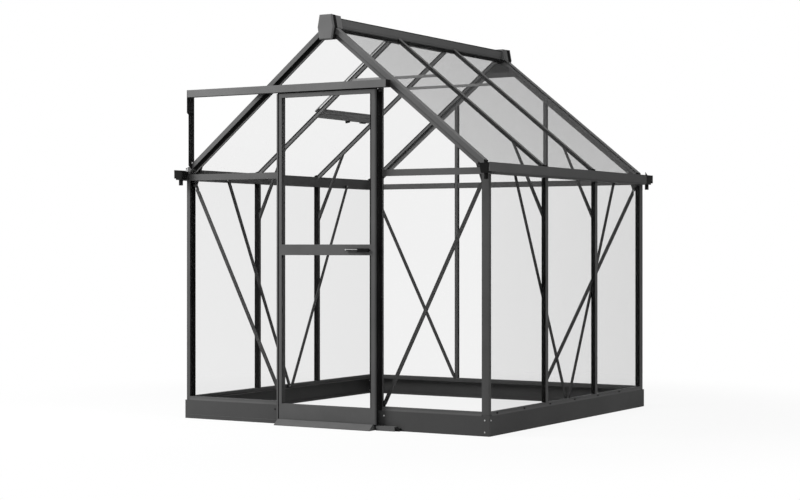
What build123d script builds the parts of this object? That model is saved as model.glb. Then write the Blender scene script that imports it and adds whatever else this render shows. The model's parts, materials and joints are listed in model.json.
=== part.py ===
from build123d import *
import os
from math import atan2, cos, degrees, radians, tan

os.makedirs("parts", exist_ok=True)

# Walk-in garden greenhouse: aluminium extrusions and glass on a folded steel base, with a sliding
# door. X runs to the right seen from the front, Y to the back, Z up. The origin is on the ground
# in the middle of the base frame. All sizes are in millimetres.

# ---------------------------------------------------------------- driving dimensions
BASE_WIDTH = 1847.0
BASE_DEPTH = 1900.0
BASE_HEIGHT = 98.0
EAVE_HEIGHT = 1275.0            # underside of the eave beams
ROOF_PITCH = 39.0
GABLE_BAR_SPACING = 600.0
SIDE_BAR_SPACING = 610.0
GLASS = 4.0
DOOR_WIDTH = 606.0
DOOR_HEIGHT = 1682.0
DOOR_LIFT = 29.0                # door's lower edge above the ground

# ---------------------------------------------------------------- sections
BASE_SHEET = 2.0
BASE_TOP_FLANGE = 46.0
BASE_FOOT_FLANGE = 14.0
BASE_FOOT_RISE = 12.0
WALL_INSET = 5.0                # wall face behind the base face
LIP = 3.0                       # outer lip over the edge of a pane
POCKET = 4.2                    # slot that takes a pane
SEAT = 8.0                      # how far a pane reaches into its slot
PANE_GAP = 1.0                  # from a pane's edge to the root of its slot
BAR_WIDTH = 25.0
BAR_DEPTH = 20.0
SIDE_BAR_DEPTH = 28.0           # the side walls' bars stand further into the house
POST_LONG = 40.0
POST_SHORT = 22.0
POST_CURVE = 27.0               # where the long side starts to curve back to the corner
POST_EDGE = 1.5                 # how far it has curved back there
POST_HEEL = 7.0
POST_WALL = 3.0
SILL_HEIGHT = 20.0
SILL_NOSE = 4.0
SILL_BEVEL = 10.0
RAIL_HEIGHT = 33.0
GUTTER_WIDTH = 55.5
GUTTER_HEIGHT = 55.0
GUTTER_WALL = 3.0
GUTTER_BEVEL = 10.0
ROOF_UNDER_GUTTER = 7.0         # roof's outer plane below the gutter's rim, over the base's edge
RAFTER_WIDTH = 42.0
RAFTER_FACE = 24.0
RAFTER_LEG = 47.0
RAFTER_PROUD = 15.0             # gable rafters stand out in front of the gable's face
RIDGE_HALF = 30.0
RIDGE_RISE = 20.0
RIDGE_DROP = 40.0
RIDGE_WALL = 3.0
STRIP_WIDTH = 20.0
STRIP = 2.0
PLATE = 3.0
THIN = 2.0                      # inner walls of the hollow sections

# ---------------------------------------------------------------- places that follow
base_x = BASE_WIDTH / 2
base_y = BASE_DEPTH / 2
wall_x = base_x - WALL_INSET
wall_y = base_y - WALL_INSET
sill_top = BASE_HEIGHT + SILL_HEIGHT
slot_depth = SEAT + PANE_GAP
slot_back = LIP + POCKET
bar_web = BAR_WIDTH - 2 * slot_depth
slope = tan(radians(ROOF_PITCH))
square = cos(radians(ROOF_PITCH))
gutter_in = wall_x - BAR_DEPTH
gutter_x = gutter_in + GUTTER_WIDTH
roof_peak = EAVE_HEIGHT + GUTTER_HEIGHT - ROOF_UNDER_GUTTER + slope * base_x
ridge_top = roof_peak + RIDGE_RISE
ridge_low = roof_peak - RIDGE_DROP
gable_bar_x = GABLE_BAR_SPACING / 2
side_bar_y = SIDE_BAR_SPACING / 2
rafter_end = gutter_in
pane_low = BASE_HEIGHT + SILL_HEIGHT - SEAT


def roof_z(x, drop=0.0):
    """Height at x of the plane that lies drop below the roof's outer plane, square to the slope."""
    return roof_peak - slope * abs(x) - drop / square


def slope_reach(z, drop=0.0):
    """Distance from the ridge line at which the plane drop below the roof reaches a height."""
    return (roof_z(0, drop) - z) / slope


def save(piece, name):
    """Label a finished piece and write it."""
    piece.part.label = name
    export_step(piece.part, f"parts/{name}.step")


def flat(*points):
    """Closed flat face through the points."""
    with BuildSketch() as face:
        with BuildLine():
            Polyline(*points, close=True)
        make_face()
    return face.sketch


def extrusion(section, plane, length, mode=Mode.ADD):
    """Extrude a flat section, placed on a plane, in the open part."""
    with BuildSketch(plane) as placed:
        add(section)
    extrude(placed.sketch, amount=length, mode=mode)


def across(points, y0, y1, mode=Mode.ADD):
    """Prism through X and Z points, from one Y to a greater one, in the open part."""
    extrusion(flat(*points), Plane.XZ.offset(-y1), y1 - y0, mode)


def box_between(low, high, mode=Mode.ADD):
    """Add a box between two corners to the open part, or cut it out."""
    size = [b - a for a, b in zip(low, high)]
    middle = [(a + b) / 2 for a, b in zip(low, high)]
    with Locations(tuple(middle)):
        Box(*size, mode=mode)


def upright(x, y, z, inward):
    """Plane for a section that is extruded upwards: its local -Y points into the building."""
    ix, iy = inward
    return Plane(origin=(x, y, z), x_dir=(-iy, ix, 0), z_dir=(0, 0, 1))


def run(x, y, z, inward, along):
    """Plane for a section that is extruded along a wall: local X points inwards, local Y up."""
    return Plane(origin=(x, y, z), x_dir=(*inward, 0), z_dir=(*along, 0))


LEFT, RIGHT, FRONT, BACK = (-1, 0), (1, 0), (0, -1), (0, 1)
# Each wall in turn, against the clock seen from above: start corner, inward, along, length.
WALLS = {
    "front": ((-wall_x, -wall_y), BACK, RIGHT, 2 * wall_x),
    "right": ((wall_x, -wall_y), LEFT, BACK, 2 * wall_y),
    "back": ((wall_x, wall_y), FRONT, LEFT, 2 * wall_x),
    "left": ((-wall_x, wall_y), RIGHT, FRONT, 2 * wall_y),
}


def on_wall(name, start, height):
    """Plane on a wall's outer face, start along it, for a section that runs along the wall."""
    (cx, cy), inward, along, _ = WALLS[name]
    return run(cx + along[0] * start, cy + along[1] * start, height, inward, along)


# ---------------------------------------------------------------- base frame
def base_band(length, outer, inner):
    """Strip of a base rail in plan, mitred at both ends, between two distances from its outer face."""
    half = length / 2
    return flat((outer - half, outer), (half - outer, outer), (half - inner, inner), (inner - half, inner))


def base_rail(length, x, y, along):
    """Folded steel rail: web, top flange, and a foot flange with its edge turned up."""
    plan = Plane(origin=(x, y, 0), x_dir=(*along, 0), z_dir=(0, 0, 1))
    top = plan.offset(BASE_HEIGHT - BASE_SHEET)
    extrusion(base_band(length, 0, BASE_SHEET), plan, BASE_HEIGHT)
    extrusion(base_band(length, BASE_SHEET, BASE_TOP_FLANGE), top, BASE_SHEET)
    extrusion(base_band(length, BASE_SHEET, BASE_FOOT_FLANGE), plan, BASE_SHEET)
    extrusion(base_band(length, BASE_FOOT_FLANGE - BASE_SHEET, BASE_FOOT_FLANGE), plan, BASE_FOOT_RISE)


with BuildPart() as base_front:
    base_rail(BASE_WIDTH, 0, -base_y, RIGHT)
save(base_front, "base_front")

with BuildPart() as base_back:
    base_rail(BASE_WIDTH, 0, base_y, LEFT)
save(base_back, "base_back")

with BuildPart() as base_sides:
    base_rail(BASE_DEPTH, base_x, 0, BACK)
    base_rail(BASE_DEPTH, -base_x, 0, FRONT)
save(base_sides, "base_sides")

BRACKET_LEG = 60.0
BRACKET_TOP = 84.0
with BuildPart() as base_corners:
    # an angle inside each corner, standing on the turned-up foot flanges' sheet
    near, far = BASE_SHEET, BASE_SHEET + BRACKET_LEG
    thick = 2 * BASE_SHEET
    for sx in (-1, 1):
        for sy in (-1, 1):
            corner = flat(
                (sx * (base_x - near), sy * (base_y - near)), (sx * (base_x - far), sy * (base_y - near)),
                (sx * (base_x - far), sy * (base_y - thick)), (sx * (base_x - thick), sy * (base_y - thick)),
                (sx * (base_x - thick), sy * (base_y - far)), (sx * (base_x - near), sy * (base_y - far)),
            )
            extrusion(corner, Plane.XY.offset(BASE_SHEET), BRACKET_TOP - BASE_SHEET)
save(base_corners, "base_corners")

# ---------------------------------------------------------------- sills
sill_floor = SILL_HEIGHT - slot_depth
sill_section = flat(
    (-SILL_NOSE, 0), (0, SILL_BEVEL), (0, SILL_HEIGHT), (LIP, SILL_HEIGHT), (LIP, sill_floor),
    (slot_back, sill_floor), (slot_back, SILL_HEIGHT), (BAR_DEPTH, SILL_HEIGHT), (BAR_DEPTH, 0),
    (BAR_DEPTH - THIN, 0), (BAR_DEPTH - THIN, sill_floor - THIN), (THIN, sill_floor - THIN),
    (THIN - SILL_NOSE, 0),
)
door_post_in = gable_bar_x - BAR_WIDTH / 2
door_post_out = gable_bar_x + BAR_WIDTH / 2
with BuildPart() as sills:
    for name in ("right", "back", "left"):
        long = WALLS[name][3] - POST_SHORT - POST_LONG
        extrusion(sill_section, on_wall(name, POST_SHORT, BASE_HEIGHT), long)
    left_long = wall_x - POST_SHORT - door_post_out
    right_long = wall_x - POST_LONG - door_post_out
    extrusion(sill_section, on_wall("front", POST_SHORT, BASE_HEIGHT), left_long)
    extrusion(sill_section, on_wall("front", wall_x + door_post_out, BASE_HEIGHT), right_long)
save(sills, "sills")

# ---------------------------------------------------------------- corner posts and bars
post_core_x = POST_LONG - slot_back - 2 * POST_WALL
post_core_y = POST_SHORT - slot_back - 2 * POST_WALL
with BuildSketch() as post_section:
    # the outer corner is at the origin; the long side lies along X and curves back to the corner;
    # a slot for glass in each end, and a heel inside the long end
    with BuildLine():
        Bezier((POST_CURVE, 0), (POST_CURVE / 3, 0), (0, -POST_EDGE / 2), (0, -POST_EDGE))
        Polyline(
            (0, -POST_EDGE), (0, -POST_SHORT), (LIP, -POST_SHORT), (LIP, slot_depth - POST_SHORT),
            (slot_back, slot_depth - POST_SHORT), (slot_back, -POST_SHORT), (POST_SHORT + THIN, -POST_SHORT),
            (POST_SHORT + THIN, -POST_SHORT - POST_HEEL), (POST_LONG, -POST_SHORT - POST_HEEL),
            (POST_LONG, -slot_back), (POST_LONG - slot_depth, -slot_back), (POST_LONG - slot_depth, -LIP),
            (POST_LONG, -LIP), (POST_LONG, 0), (POST_CURVE, 0),
        )
    make_face()
    with Locations((slot_back + POST_WALL + post_core_x / 2, -slot_back - POST_WALL - post_core_y / 2)):
        Rectangle(post_core_x, post_core_y, mode=Mode.SUBTRACT)

with BuildPart() as corner_posts:
    for x, y, along in (
        (wall_x, -wall_y, LEFT), (wall_x, wall_y, FRONT), (-wall_x, wall_y, RIGHT), (-wall_x, -wall_y, BACK),
    ):
        foot = Plane(origin=(x, y, BASE_HEIGHT), x_dir=(*along, 0), z_dir=(0, 0, 1))
        extrusion(post_section.sketch, foot, EAVE_HEIGHT - BASE_HEIGHT)
save(corner_posts, "corner_posts")



def glazing_bar(deep):
    """Section of a bar: face lip on local Y = 0, web between two panes, and an inner box."""
    face, web, inner = BAR_WIDTH / 2, bar_web / 2, BAR_WIDTH / 2 - LIP
    with BuildSketch() as bar:
        add(flat(
            (-face, 0), (face, 0), (face, -LIP), (web, -LIP), (web, -slot_back), (inner, -slot_back),
            (inner, -deep), (-inner, -deep), (-inner, -slot_back), (-web, -slot_back), (-web, -LIP),
            (-face, -LIP),
        ))
        with Locations((0, -(slot_back + deep) / 2)):
            Rectangle(2 * inner - 2 * THIN, deep - slot_back - 2 * THIN, mode=Mode.SUBTRACT)
    return bar.sketch


bar_section = glazing_bar(BAR_DEPTH)
side_bar_section = glazing_bar(SIDE_BAR_DEPTH)
side_bar_in = wall_x - SIDE_BAR_DEPTH


def side_bars(sx, inward):
    """The two glazing bars of a side wall."""
    for y in (-side_bar_y, side_bar_y):
        extrusion(side_bar_section, upright(sx * wall_x, y, sill_top, inward), EAVE_HEIGHT - sill_top)


with BuildPart() as wall_bars_left:
    side_bars(-1, RIGHT)
save(wall_bars_left, "wall_bars_left")

with BuildPart() as wall_bars_right:
    side_bars(1, LEFT)
save(wall_bars_right, "wall_bars_right")


def gable_bars(y, inward, low, high):
    """The two tall bars of a gable up to a height, cut to the slopes under the rafters' faces and legs."""
    for x in (-gable_bar_x, gable_bar_x):
        extrusion(bar_section, upright(x, y, low, inward), high - low)
    for drop, reach in ((RAFTER_FACE, base_y), (RAFTER_LEG, wall_y - slot_back)):
        for sx in (-1, 1):
            above = (
                (0, roof_z(0, drop)), (sx * base_x, roof_z(base_x, drop)), (sx * base_x, ridge_top),
                (0, ridge_top),
            )
            across(above, -reach, reach, Mode.SUBTRACT)


HEADER_LOW = 1722.0
peak_low = HEADER_LOW + RAIL_HEIGHT - SEAT      # lower edge of the pane over the door
with BuildPart() as gable_bars_back:
    gable_bars(wall_y, FRONT, sill_top, roof_peak)
save(gable_bars_back, "gable_bars_back")

with BuildPart() as door_posts:
    gable_bars(-wall_y, BACK, BASE_HEIGHT, peak_low - PANE_GAP)
save(door_posts, "door_posts")

# ---------------------------------------------------------------- eave beams, gutters, cross rails
gutter_section = flat(
    (0, 0), (GUTTER_WIDTH - GUTTER_BEVEL / 2, 0), (GUTTER_WIDTH, GUTTER_BEVEL), (GUTTER_WIDTH, GUTTER_HEIGHT),
    (GUTTER_WIDTH - GUTTER_WALL, GUTTER_HEIGHT), (GUTTER_WIDTH - GUTTER_WALL, GUTTER_BEVEL + 1.0),
    (GUTTER_WIDTH - GUTTER_WALL - GUTTER_BEVEL / 2 + 1.0, GUTTER_WALL), (GUTTER_WALL, GUTTER_WALL),
    (GUTTER_WALL, roof_z(gutter_in + GUTTER_WALL, LIP + GLASS) - EAVE_HEIGHT),
    (0, roof_z(gutter_in, LIP + GLASS) - EAVE_HEIGHT),
)
OUTLET_OUT = 68.0
TONGUE_SHORT = 5.0


def eave_beam(sx):
    """Eave beam and gutter in one section, over the whole length of a side."""
    start = Plane(origin=(sx * gutter_in, sx * wall_y, EAVE_HEIGHT), x_dir=(sx, 0, 0), z_dir=(0, -sx, 0))
    extrusion(gutter_section, start, 2 * wall_y)
    # the outer wall goes on past both ends, beside the outlets
    reach = wall_y + OUTLET_OUT - TONGUE_SHORT
    box_between(
        (min(sx * gutter_x, sx * (gutter_x - GUTTER_WALL)), -reach, EAVE_HEIGHT + GUTTER_BEVEL),
        (max(sx * gutter_x, sx * (gutter_x - GUTTER_WALL)), reach, EAVE_HEIGHT + GUTTER_HEIGHT),
    )


with BuildPart() as gutter_right:
    eave_beam(1)
save(gutter_right, "gutter_right")

with BuildPart() as gutter_left:
    eave_beam(-1)
save(gutter_left, "gutter_left")

OUTLET_BOTTOM = 37.0
OUTLET_LOW = EAVE_HEIGHT + 2.0
OUTLET_TOP = EAVE_HEIGHT + GUTTER_HEIGHT - 4.0
NOZZLE = 22.0
NOZZLE_BORE = 16.0
NOZZLE_LONG = 29.0
outlet_width = GUTTER_WIDTH - GUTTER_WALL
with BuildPart() as gutter_outlets:
    for sx in (-1, 1):
        for sy in (-1, 1):
            cx = sx * (gutter_in + outlet_width / 2)
            cy = sy * (wall_y + OUTLET_OUT - outlet_width / 2)
            with BuildSketch(Plane.XY.offset(OUTLET_TOP)):
                with Locations((cx, sy * (wall_y + OUTLET_OUT / 2))):
                    Rectangle(outlet_width, OUTLET_OUT)
            with BuildSketch(Plane.XY.offset(OUTLET_LOW)):
                with Locations((cx, cy)):
                    Rectangle(OUTLET_BOTTOM, OUTLET_BOTTOM)
            loft()
            with Locations((cx, cy, OUTLET_LOW - NOZZLE_LONG)):
                Cylinder(NOZZLE / 2, NOZZLE_LONG + THIN, align=(Align.CENTER, Align.CENTER, Align.MIN))
                Cylinder(
                    NOZZLE_BORE / 2, NOZZLE_LONG + GUTTER_HEIGHT / 2, mode=Mode.SUBTRACT,
                    align=(Align.CENTER, Align.CENTER, Align.MIN),
                )
save(gutter_outlets, "gutter_outlets")

with BuildSketch() as rail_section:
    # cross rail with a slot for glass above and below; local X inwards, Y up
    add(flat(
        (0, 0), (LIP, 0), (LIP, slot_depth), (slot_back, slot_depth), (slot_back, 0), (BAR_DEPTH, 0),
        (BAR_DEPTH, RAIL_HEIGHT), (slot_back, RAIL_HEIGHT), (slot_back, RAIL_HEIGHT - slot_depth),
        (LIP, RAIL_HEIGHT - slot_depth), (LIP, RAIL_HEIGHT), (0, RAIL_HEIGHT),
    ))
    with Locations(((slot_back + BAR_DEPTH) / 2, RAIL_HEIGHT / 2)):
        Rectangle(BAR_DEPTH - slot_back - 2 * THIN, RAIL_HEIGHT - 2 * THIN, mode=Mode.SUBTRACT)

rail_start = wall_x - gutter_in
rail_long = gutter_in - door_post_out
with BuildPart() as front_rails:
    extrusion(rail_section.sketch, on_wall("front", rail_start, EAVE_HEIGHT), rail_long)
    extrusion(rail_section.sketch, on_wall("front", wall_x + door_post_out, EAVE_HEIGHT), rail_long)
    extrusion(rail_section.sketch, on_wall("front", wall_x - door_post_in, HEADER_LOW), 2 * door_post_in)
save(front_rails, "front_rails")

with BuildPart() as back_rails:
    extrusion(rail_section.sketch, on_wall("back", rail_start, EAVE_HEIGHT), rail_long)
    extrusion(rail_section.sketch, on_wall("back", wall_x + door_post_out, EAVE_HEIGHT), rail_long)
    extrusion(rail_section.sketch, on_wall("back", wall_x - door_post_in, EAVE_HEIGHT), 2 * door_post_in)
save(back_rails, "back_rails")

# ---------------------------------------------------------------- roof frame
def down_slope(sx, y):
    """Plane at the peak for a section that is extruded down a slope; local Y is the roof's normal."""
    return Plane(origin=(0, y, roof_peak), x_dir=(0, sx, 0), z_dir=(sx * square, 0, -slope * square))


def trim_slope(sx, inner, outer):
    """Cut the open part to the stretch between two distances from the ridge line."""
    high, low = ridge_top + RAFTER_LEG, EAVE_HEIGHT - RAFTER_LEG
    for x0, x1 in ((-base_x, inner), (outer, 2 * base_x)):
        beyond = ((sx * x0, low), (sx * x1, low), (sx * x1, high), (sx * x0, high))
        across(beyond, -base_y - RAFTER_PROUD, base_y + RAFTER_PROUD, Mode.SUBTRACT)


def middle_rafters(sx):
    """The two rafters between the gables on one slope."""
    for y in (-side_bar_y, side_bar_y):
        extrusion(bar_section, down_slope(sx, y), base_x / square)
    trim_slope(sx, RIDGE_HALF, rafter_end)


with BuildPart() as rafters_left:
    middle_rafters(-1)
save(rafters_left, "rafters_left")

with BuildPart() as rafters_right:
    middle_rafters(1)
save(rafters_right, "rafters_right")

rafter_root = RAFTER_WIDTH - slot_depth - PANE_GAP
rafter_slot, rafter_back = RAFTER_PROUD + LIP, RAFTER_PROUD + slot_back
with BuildSketch() as gable_rafter_section:
    # hollow face over the gable's glass, slot for the roof's glass, and a leg behind the gable's glass
    add(flat(
        (0, 0), (RAFTER_WIDTH, 0), (RAFTER_WIDTH, -LIP), (rafter_root, -LIP), (rafter_root, -slot_back),
        (RAFTER_WIDTH, -slot_back), (RAFTER_WIDTH, -BAR_DEPTH), (rafter_back + LIP, -BAR_DEPTH),
        (rafter_back + LIP, -RAFTER_LEG), (rafter_back, -RAFTER_LEG), (rafter_back, slot_depth - RAFTER_FACE),
        (rafter_slot, slot_depth - RAFTER_FACE), (rafter_slot, -RAFTER_FACE), (0, -RAFTER_FACE),
    ))
    with Locations((rafter_slot / 2, -RAFTER_FACE / 2)):
        Rectangle(rafter_slot - 2 * LIP, RAFTER_FACE - 2 * LIP, mode=Mode.SUBTRACT)
with BuildPart() as gable_rafters_front:
    extrusion(gable_rafter_section.sketch, down_slope(1, -wall_y - RAFTER_PROUD), base_x / square)
    trim_slope(1, RIDGE_HALF, rafter_end)
    # the leg ends on the wall's top rail
    box_between((0, slot_back - wall_y, 0), (base_x, 0, EAVE_HEIGHT + RAIL_HEIGHT), Mode.SUBTRACT)
    mirror(about=Plane.YZ)
save(gable_rafters_front, "gable_rafters_front")

with BuildPart() as gable_rafters_back:
    mirror(gable_rafters_front.part, about=Plane.XZ)
save(gable_rafters_back, "gable_rafters_back")

RIDGE_EDGE = 4.0
RIDGE_GROOVE = 3.0
with BuildPart() as ridge_beam:
    r, inside, shoulder = RIDGE_HALF, RIDGE_HALF - RIDGE_WALL, ridge_top - RIDGE_EDGE
    with BuildSketch(Plane.XZ.offset(-wall_y)):
        add(flat(
            (-r, ridge_low), (-r, shoulder), (RIDGE_EDGE - r, ridge_top), (r - RIDGE_EDGE, ridge_top),
            (r, shoulder), (r, ridge_low), (inside, ridge_low), (inside, shoulder - RIDGE_WALL),
            (-inside, shoulder - RIDGE_WALL), (-inside, ridge_low),
        ))
        for x in (-r, r):
            for z in (ridge_low + 3 * RIDGE_GROOVE, ridge_low + 6 * RIDGE_GROOVE):
                with Locations((x, z)):
                    Rectangle(RIDGE_GROOVE, RIDGE_GROOVE, mode=Mode.SUBTRACT)
    extrude(amount=2 * wall_y)
save(ridge_beam, "ridge_beam")

CAP_HALF = 37.0
CAP_WAIST = 49.0
CAP_TOP = 33.0
CAP_LOW = 94.0
CAP_PLATE = 12.0
CAP_OUT = 45.0
CAP_HOOD = 25.0
CAP_RIM = 2.0
CAP_BEVEL = 4.0
CAP_NECK = 10.0
CAP_WALL = 4.0
cap_mid = roof_peak + (CAP_TOP - CAP_LOW) / 2


def cap_outline(inset):
    """Six-sided outline of a ridge cap, drawn in by an inset."""
    half, waist = CAP_HALF - inset, CAP_WAIST - inset
    low, high = roof_peak - CAP_LOW + inset, roof_peak + CAP_TOP - inset
    return ((-half, low), (half, low), (waist, cap_mid), (half, high), (-half, high), (-waist, cap_mid))


cap_face = -wall_y - CAP_OUT
cap_back = -wall_y - RAFTER_PROUD
with BuildPart() as ridge_cap_front:
    # body round the rafters' meeting, in front of their legs, and a hood on over the roof
    past = CAP_WAIST + CAP_RIM
    across(cap_outline(CAP_RIM), cap_back, CAP_HOOD - wall_y)
    rafter_pair = (
        (-past, roof_z(past, RAFTER_FACE)), (-RIDGE_HALF, roof_z(RIDGE_HALF, RAFTER_FACE)),
        (-RIDGE_HALF, ridge_low), (RIDGE_HALF, ridge_low), (RIDGE_HALF, roof_z(RIDGE_HALF, RAFTER_FACE)),
        (past, roof_z(past, RAFTER_FACE)), (past, roof_z(past)), (RIDGE_HALF, roof_z(RIDGE_HALF)),
        (RIDGE_HALF, ridge_top), (-RIDGE_HALF, ridge_top), (-RIDGE_HALF, roof_z(RIDGE_HALF)),
        (-past, roof_z(past)),
    )
    across(rafter_pair, cap_back, CAP_HOOD - wall_y, Mode.SUBTRACT)
    below = (
        (-past, roof_peak - CAP_LOW), (past, roof_peak - CAP_LOW), (past, roof_z(past, BAR_DEPTH)),
        (0, ridge_low), (-past, roof_z(past, BAR_DEPTH)),
    )
    across(below, -wall_y + LIP + GLASS - PANE_GAP, CAP_HOOD - wall_y, Mode.SUBTRACT)
    # bevelled face plate and a narrower neck behind it
    across(cap_outline(CAP_NECK), cap_face, cap_back)
    across(cap_outline(0), cap_face + CAP_BEVEL, cap_face + CAP_PLATE)
    with BuildSketch(Plane.XZ.offset(-cap_face)) as rim:
        add(flat(*cap_outline(CAP_BEVEL)))
    with BuildSketch(Plane.XZ.offset(-cap_face - CAP_BEVEL)) as band:
        add(flat(*cap_outline(0)))
    loft(sections=[rim.sketch, band.sketch])
    across(cap_outline(CAP_NECK + CAP_WALL), cap_face + CAP_PLATE, cap_back, Mode.SUBTRACT)
save(ridge_cap_front, "ridge_cap_front")

with BuildPart() as ridge_cap_back:
    mirror(ridge_cap_front.part, about=Plane.XZ)
save(ridge_cap_back, "ridge_cap_back")

# ---------------------------------------------------------------- gussets, braces and ties
GUSSET_TOP_X = 815.0
GUSSET_LOW_X = 865.0
GUSSET_LOW = 1240.0
with BuildPart() as corner_gussets:
    for sx in (-1, 1):
        for sy in (-1, 1):
            # the deep side of a post stops the plate; a shallow side lies on the wall side of it
            edge = wall_x - POST_SHORT if sx == sy else wall_x - POST_LONG
            near = wall_y - BAR_DEPTH
            gusset = (
                (sx * GUSSET_TOP_X, roof_z(GUSSET_TOP_X, BAR_DEPTH)), (sx * edge, roof_z(edge, BAR_DEPTH)),
                (sx * edge, GUSSET_LOW), (sx * GUSSET_LOW_X, GUSSET_LOW),
            )
            across(gusset, min(sy * near, sy * (near - PLATE)), max(sy * near, sy * (near - PLATE)))
save(corner_gussets, "corner_gussets")

APEX_FRONT = (40.0, 90.0, 60.0)
APEX_BACK = (100.0, 135.0, 150.0)


def apex_plate(narrow, drop, half):
    """Outline of a plate under the ridge: half width below, its depth, and half width above."""
    top = RIDGE_HALF + BAR_DEPTH
    return (
        (-narrow, roof_peak - drop), (narrow, roof_peak - drop), (half, roof_z(half, RAFTER_FACE)),
        (top, roof_z(top, RAFTER_FACE)), (-top, roof_z(top, RAFTER_FACE)), (-half, roof_z(half, RAFTER_FACE)),
    )


with BuildPart() as apex_plates:
    # each plate lies against the backs of the rafters' legs, under the ridge beam
    near = wall_y - slot_back - LIP
    across(apex_plate(*APEX_FRONT), -near, PLATE - near)
    across(apex_plate(*APEX_BACK), near - PLATE, near)
save(apex_plates, "apex_plates")

KNEE_LOW = 1075.0
KNEE_DEPTH = 31.0
KNEE_TOP_X = 718.0
KNEE_TOP_WIDTH = 12.0
with BuildPart() as knee_braces:
    for y in (-side_bar_y, side_bar_y):
        for sx in (-1, 1):
            far = KNEE_TOP_X + KNEE_TOP_WIDTH
            knee = (
                (sx * side_bar_in, KNEE_LOW), (sx * side_bar_in, KNEE_LOW + KNEE_DEPTH),
                (sx * far, roof_z(far, BAR_DEPTH)),
                (sx * KNEE_TOP_X, roof_z(KNEE_TOP_X, BAR_DEPTH)),
            )
            across(knee, y - STRIP_WIDTH / 2, y + STRIP_WIDTH / 2)
save(knee_braces, "knee_braces")

TIE_HEIGHT = 1828.0
TIE_DEPTH = 14.0

with BuildPart() as collar_ties:
    low, high = TIE_HEIGHT, TIE_HEIGHT + TIE_DEPTH
    wide, narrow = slope_reach(low, BAR_DEPTH), slope_reach(high, BAR_DEPTH)
    tie = ((-wide, low), (wide, low), (narrow, high), (-narrow, high))
    for y in (-side_bar_y, side_bar_y):
        across(tie, y - STRIP_WIDTH / 2, y + STRIP_WIDTH / 2)
save(collar_ties, "collar_ties")


def flat_bar(plane, a, b):
    """Thin flat bar with rounded ends between two points of a plane, in the open part."""
    middle = ((a[0] + b[0]) / 2, (a[1] + b[1]) / 2)
    long = Vector(b[0] - a[0], b[1] - a[1])
    turn = degrees(atan2(long.Y, long.X))
    with BuildSketch(plane) as bar:
        with Locations(Location((*middle, 0), (0, 0, turn))):
            SlotOverall(long.length + STRIP_WIDTH, STRIP_WIDTH)
    extrude(bar.sketch, amount=STRIP)


BRACE_TOP = EAVE_HEIGHT + 10.0
BRACE_FOOT = BASE_HEIGHT + 11.0
FOOT_SPREAD = 12.0
SPACER = 14.0
with BuildPart() as side_braces:
    for sx in (-1, 1):
        inner_face = Plane(origin=(sx * side_bar_in, 0, 0), x_dir=(0, -sx, 0), z_dir=(-sx, 0, 0))
        for sy in (-1, 1):
            ends = ((sy * SIDE_BAR_SPACING, BRACE_TOP), (sy * FOOT_SPREAD, BRACE_FOOT))
            flat_bar(inner_face, *ends)
            # spacers out to the eave beam and the sill
            with BuildSketch(inner_face) as spacers:
                with Locations(*ends):
                    Circle(SPACER / 2)
            extrude(spacers.sketch, amount=BAR_DEPTH - SIDE_BAR_DEPTH)
save(side_braces, "side_braces")

GABLE_BRACE_TOP_X = 862.0
GABLE_BRACE_TOP = 1222.0
GABLE_BRACE_FOOT_X = 309.0
GABLE_BRACE_FOOT = 122.0
with BuildPart() as gable_braces:
    for sy in (-1, 1):
        inner_face = Plane(origin=(0, sy * (wall_y - BAR_DEPTH), 0), x_dir=(sy, 0, 0), z_dir=(0, -sy, 0))
        for sx in (-1, 1):
            foot = (sx * GABLE_BRACE_FOOT_X, GABLE_BRACE_FOOT)
            flat_bar(inner_face, (sx * GABLE_BRACE_TOP_X, GABLE_BRACE_TOP), foot)
save(gable_braces, "gable_braces")

# ---------------------------------------------------------------- glass
short_edge = POST_SHORT - SEAT
long_edge = POST_LONG - SEAT
bar_edge = bar_web / 2 + PANE_GAP
rail_seat_low = EAVE_HEIGHT + SEAT
rail_seat_high = EAVE_HEIGHT + RAIL_HEIGHT - SEAT


def wall_pane(name, start, stop, low, high):
    """Flat pane behind a wall's lips, between two distances along the wall."""
    pane = flat((LIP, low), (LIP + GLASS, low), (LIP + GLASS, high), (LIP, high))
    extrusion(pane, on_wall(name, start, 0), stop - start)


def side_glass(name):
    """The three panes of a side wall."""
    first, last = wall_y - side_bar_y, wall_y + side_bar_y
    wall_pane(name, short_edge, first - bar_edge, pane_low, EAVE_HEIGHT)
    wall_pane(name, first + bar_edge, last - bar_edge, pane_low, EAVE_HEIGHT)
    wall_pane(name, last + bar_edge, 2 * wall_y - long_edge, pane_low, EAVE_HEIGHT)


with BuildPart() as glass_left:
    side_glass("left")
save(glass_left, "glass_left")

with BuildPart() as glass_right:
    side_glass("right")
save(glass_right, "glass_right")


def gable_pane(sy, *points):
    """Pane of a gable through X and Z points, behind the face lips."""
    near, far = sy * (wall_y - LIP), sy * (wall_y - LIP - GLASS)
    across(points, min(near, far), max(near, far))


post_side = gable_bar_x - bar_edge
post_far = gable_bar_x + bar_edge
beam_side = gutter_in - PANE_GAP
gable_drop = RAFTER_FACE - SEAT
pane_peak = roof_peak - CAP_LOW + CAP_RIM - PANE_GAP


def outer_gable_panes(sx, sy, post_edge):
    """Lower panes beside the middle bay; they step round the eave beam's end."""
    edge = wall_x - post_edge
    step = min(edge, beam_side)
    gable_pane(
        sy, (sx * post_far, pane_low), (sx * step, pane_low), (sx * step, rail_seat_low),
        (sx * post_far, rail_seat_low),
    )
    if edge > step:
        gable_pane(
            sy, (sx * step, pane_low), (sx * edge, pane_low), (sx * edge, EAVE_HEIGHT),
            (sx * step, EAVE_HEIGHT),
        )


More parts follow.
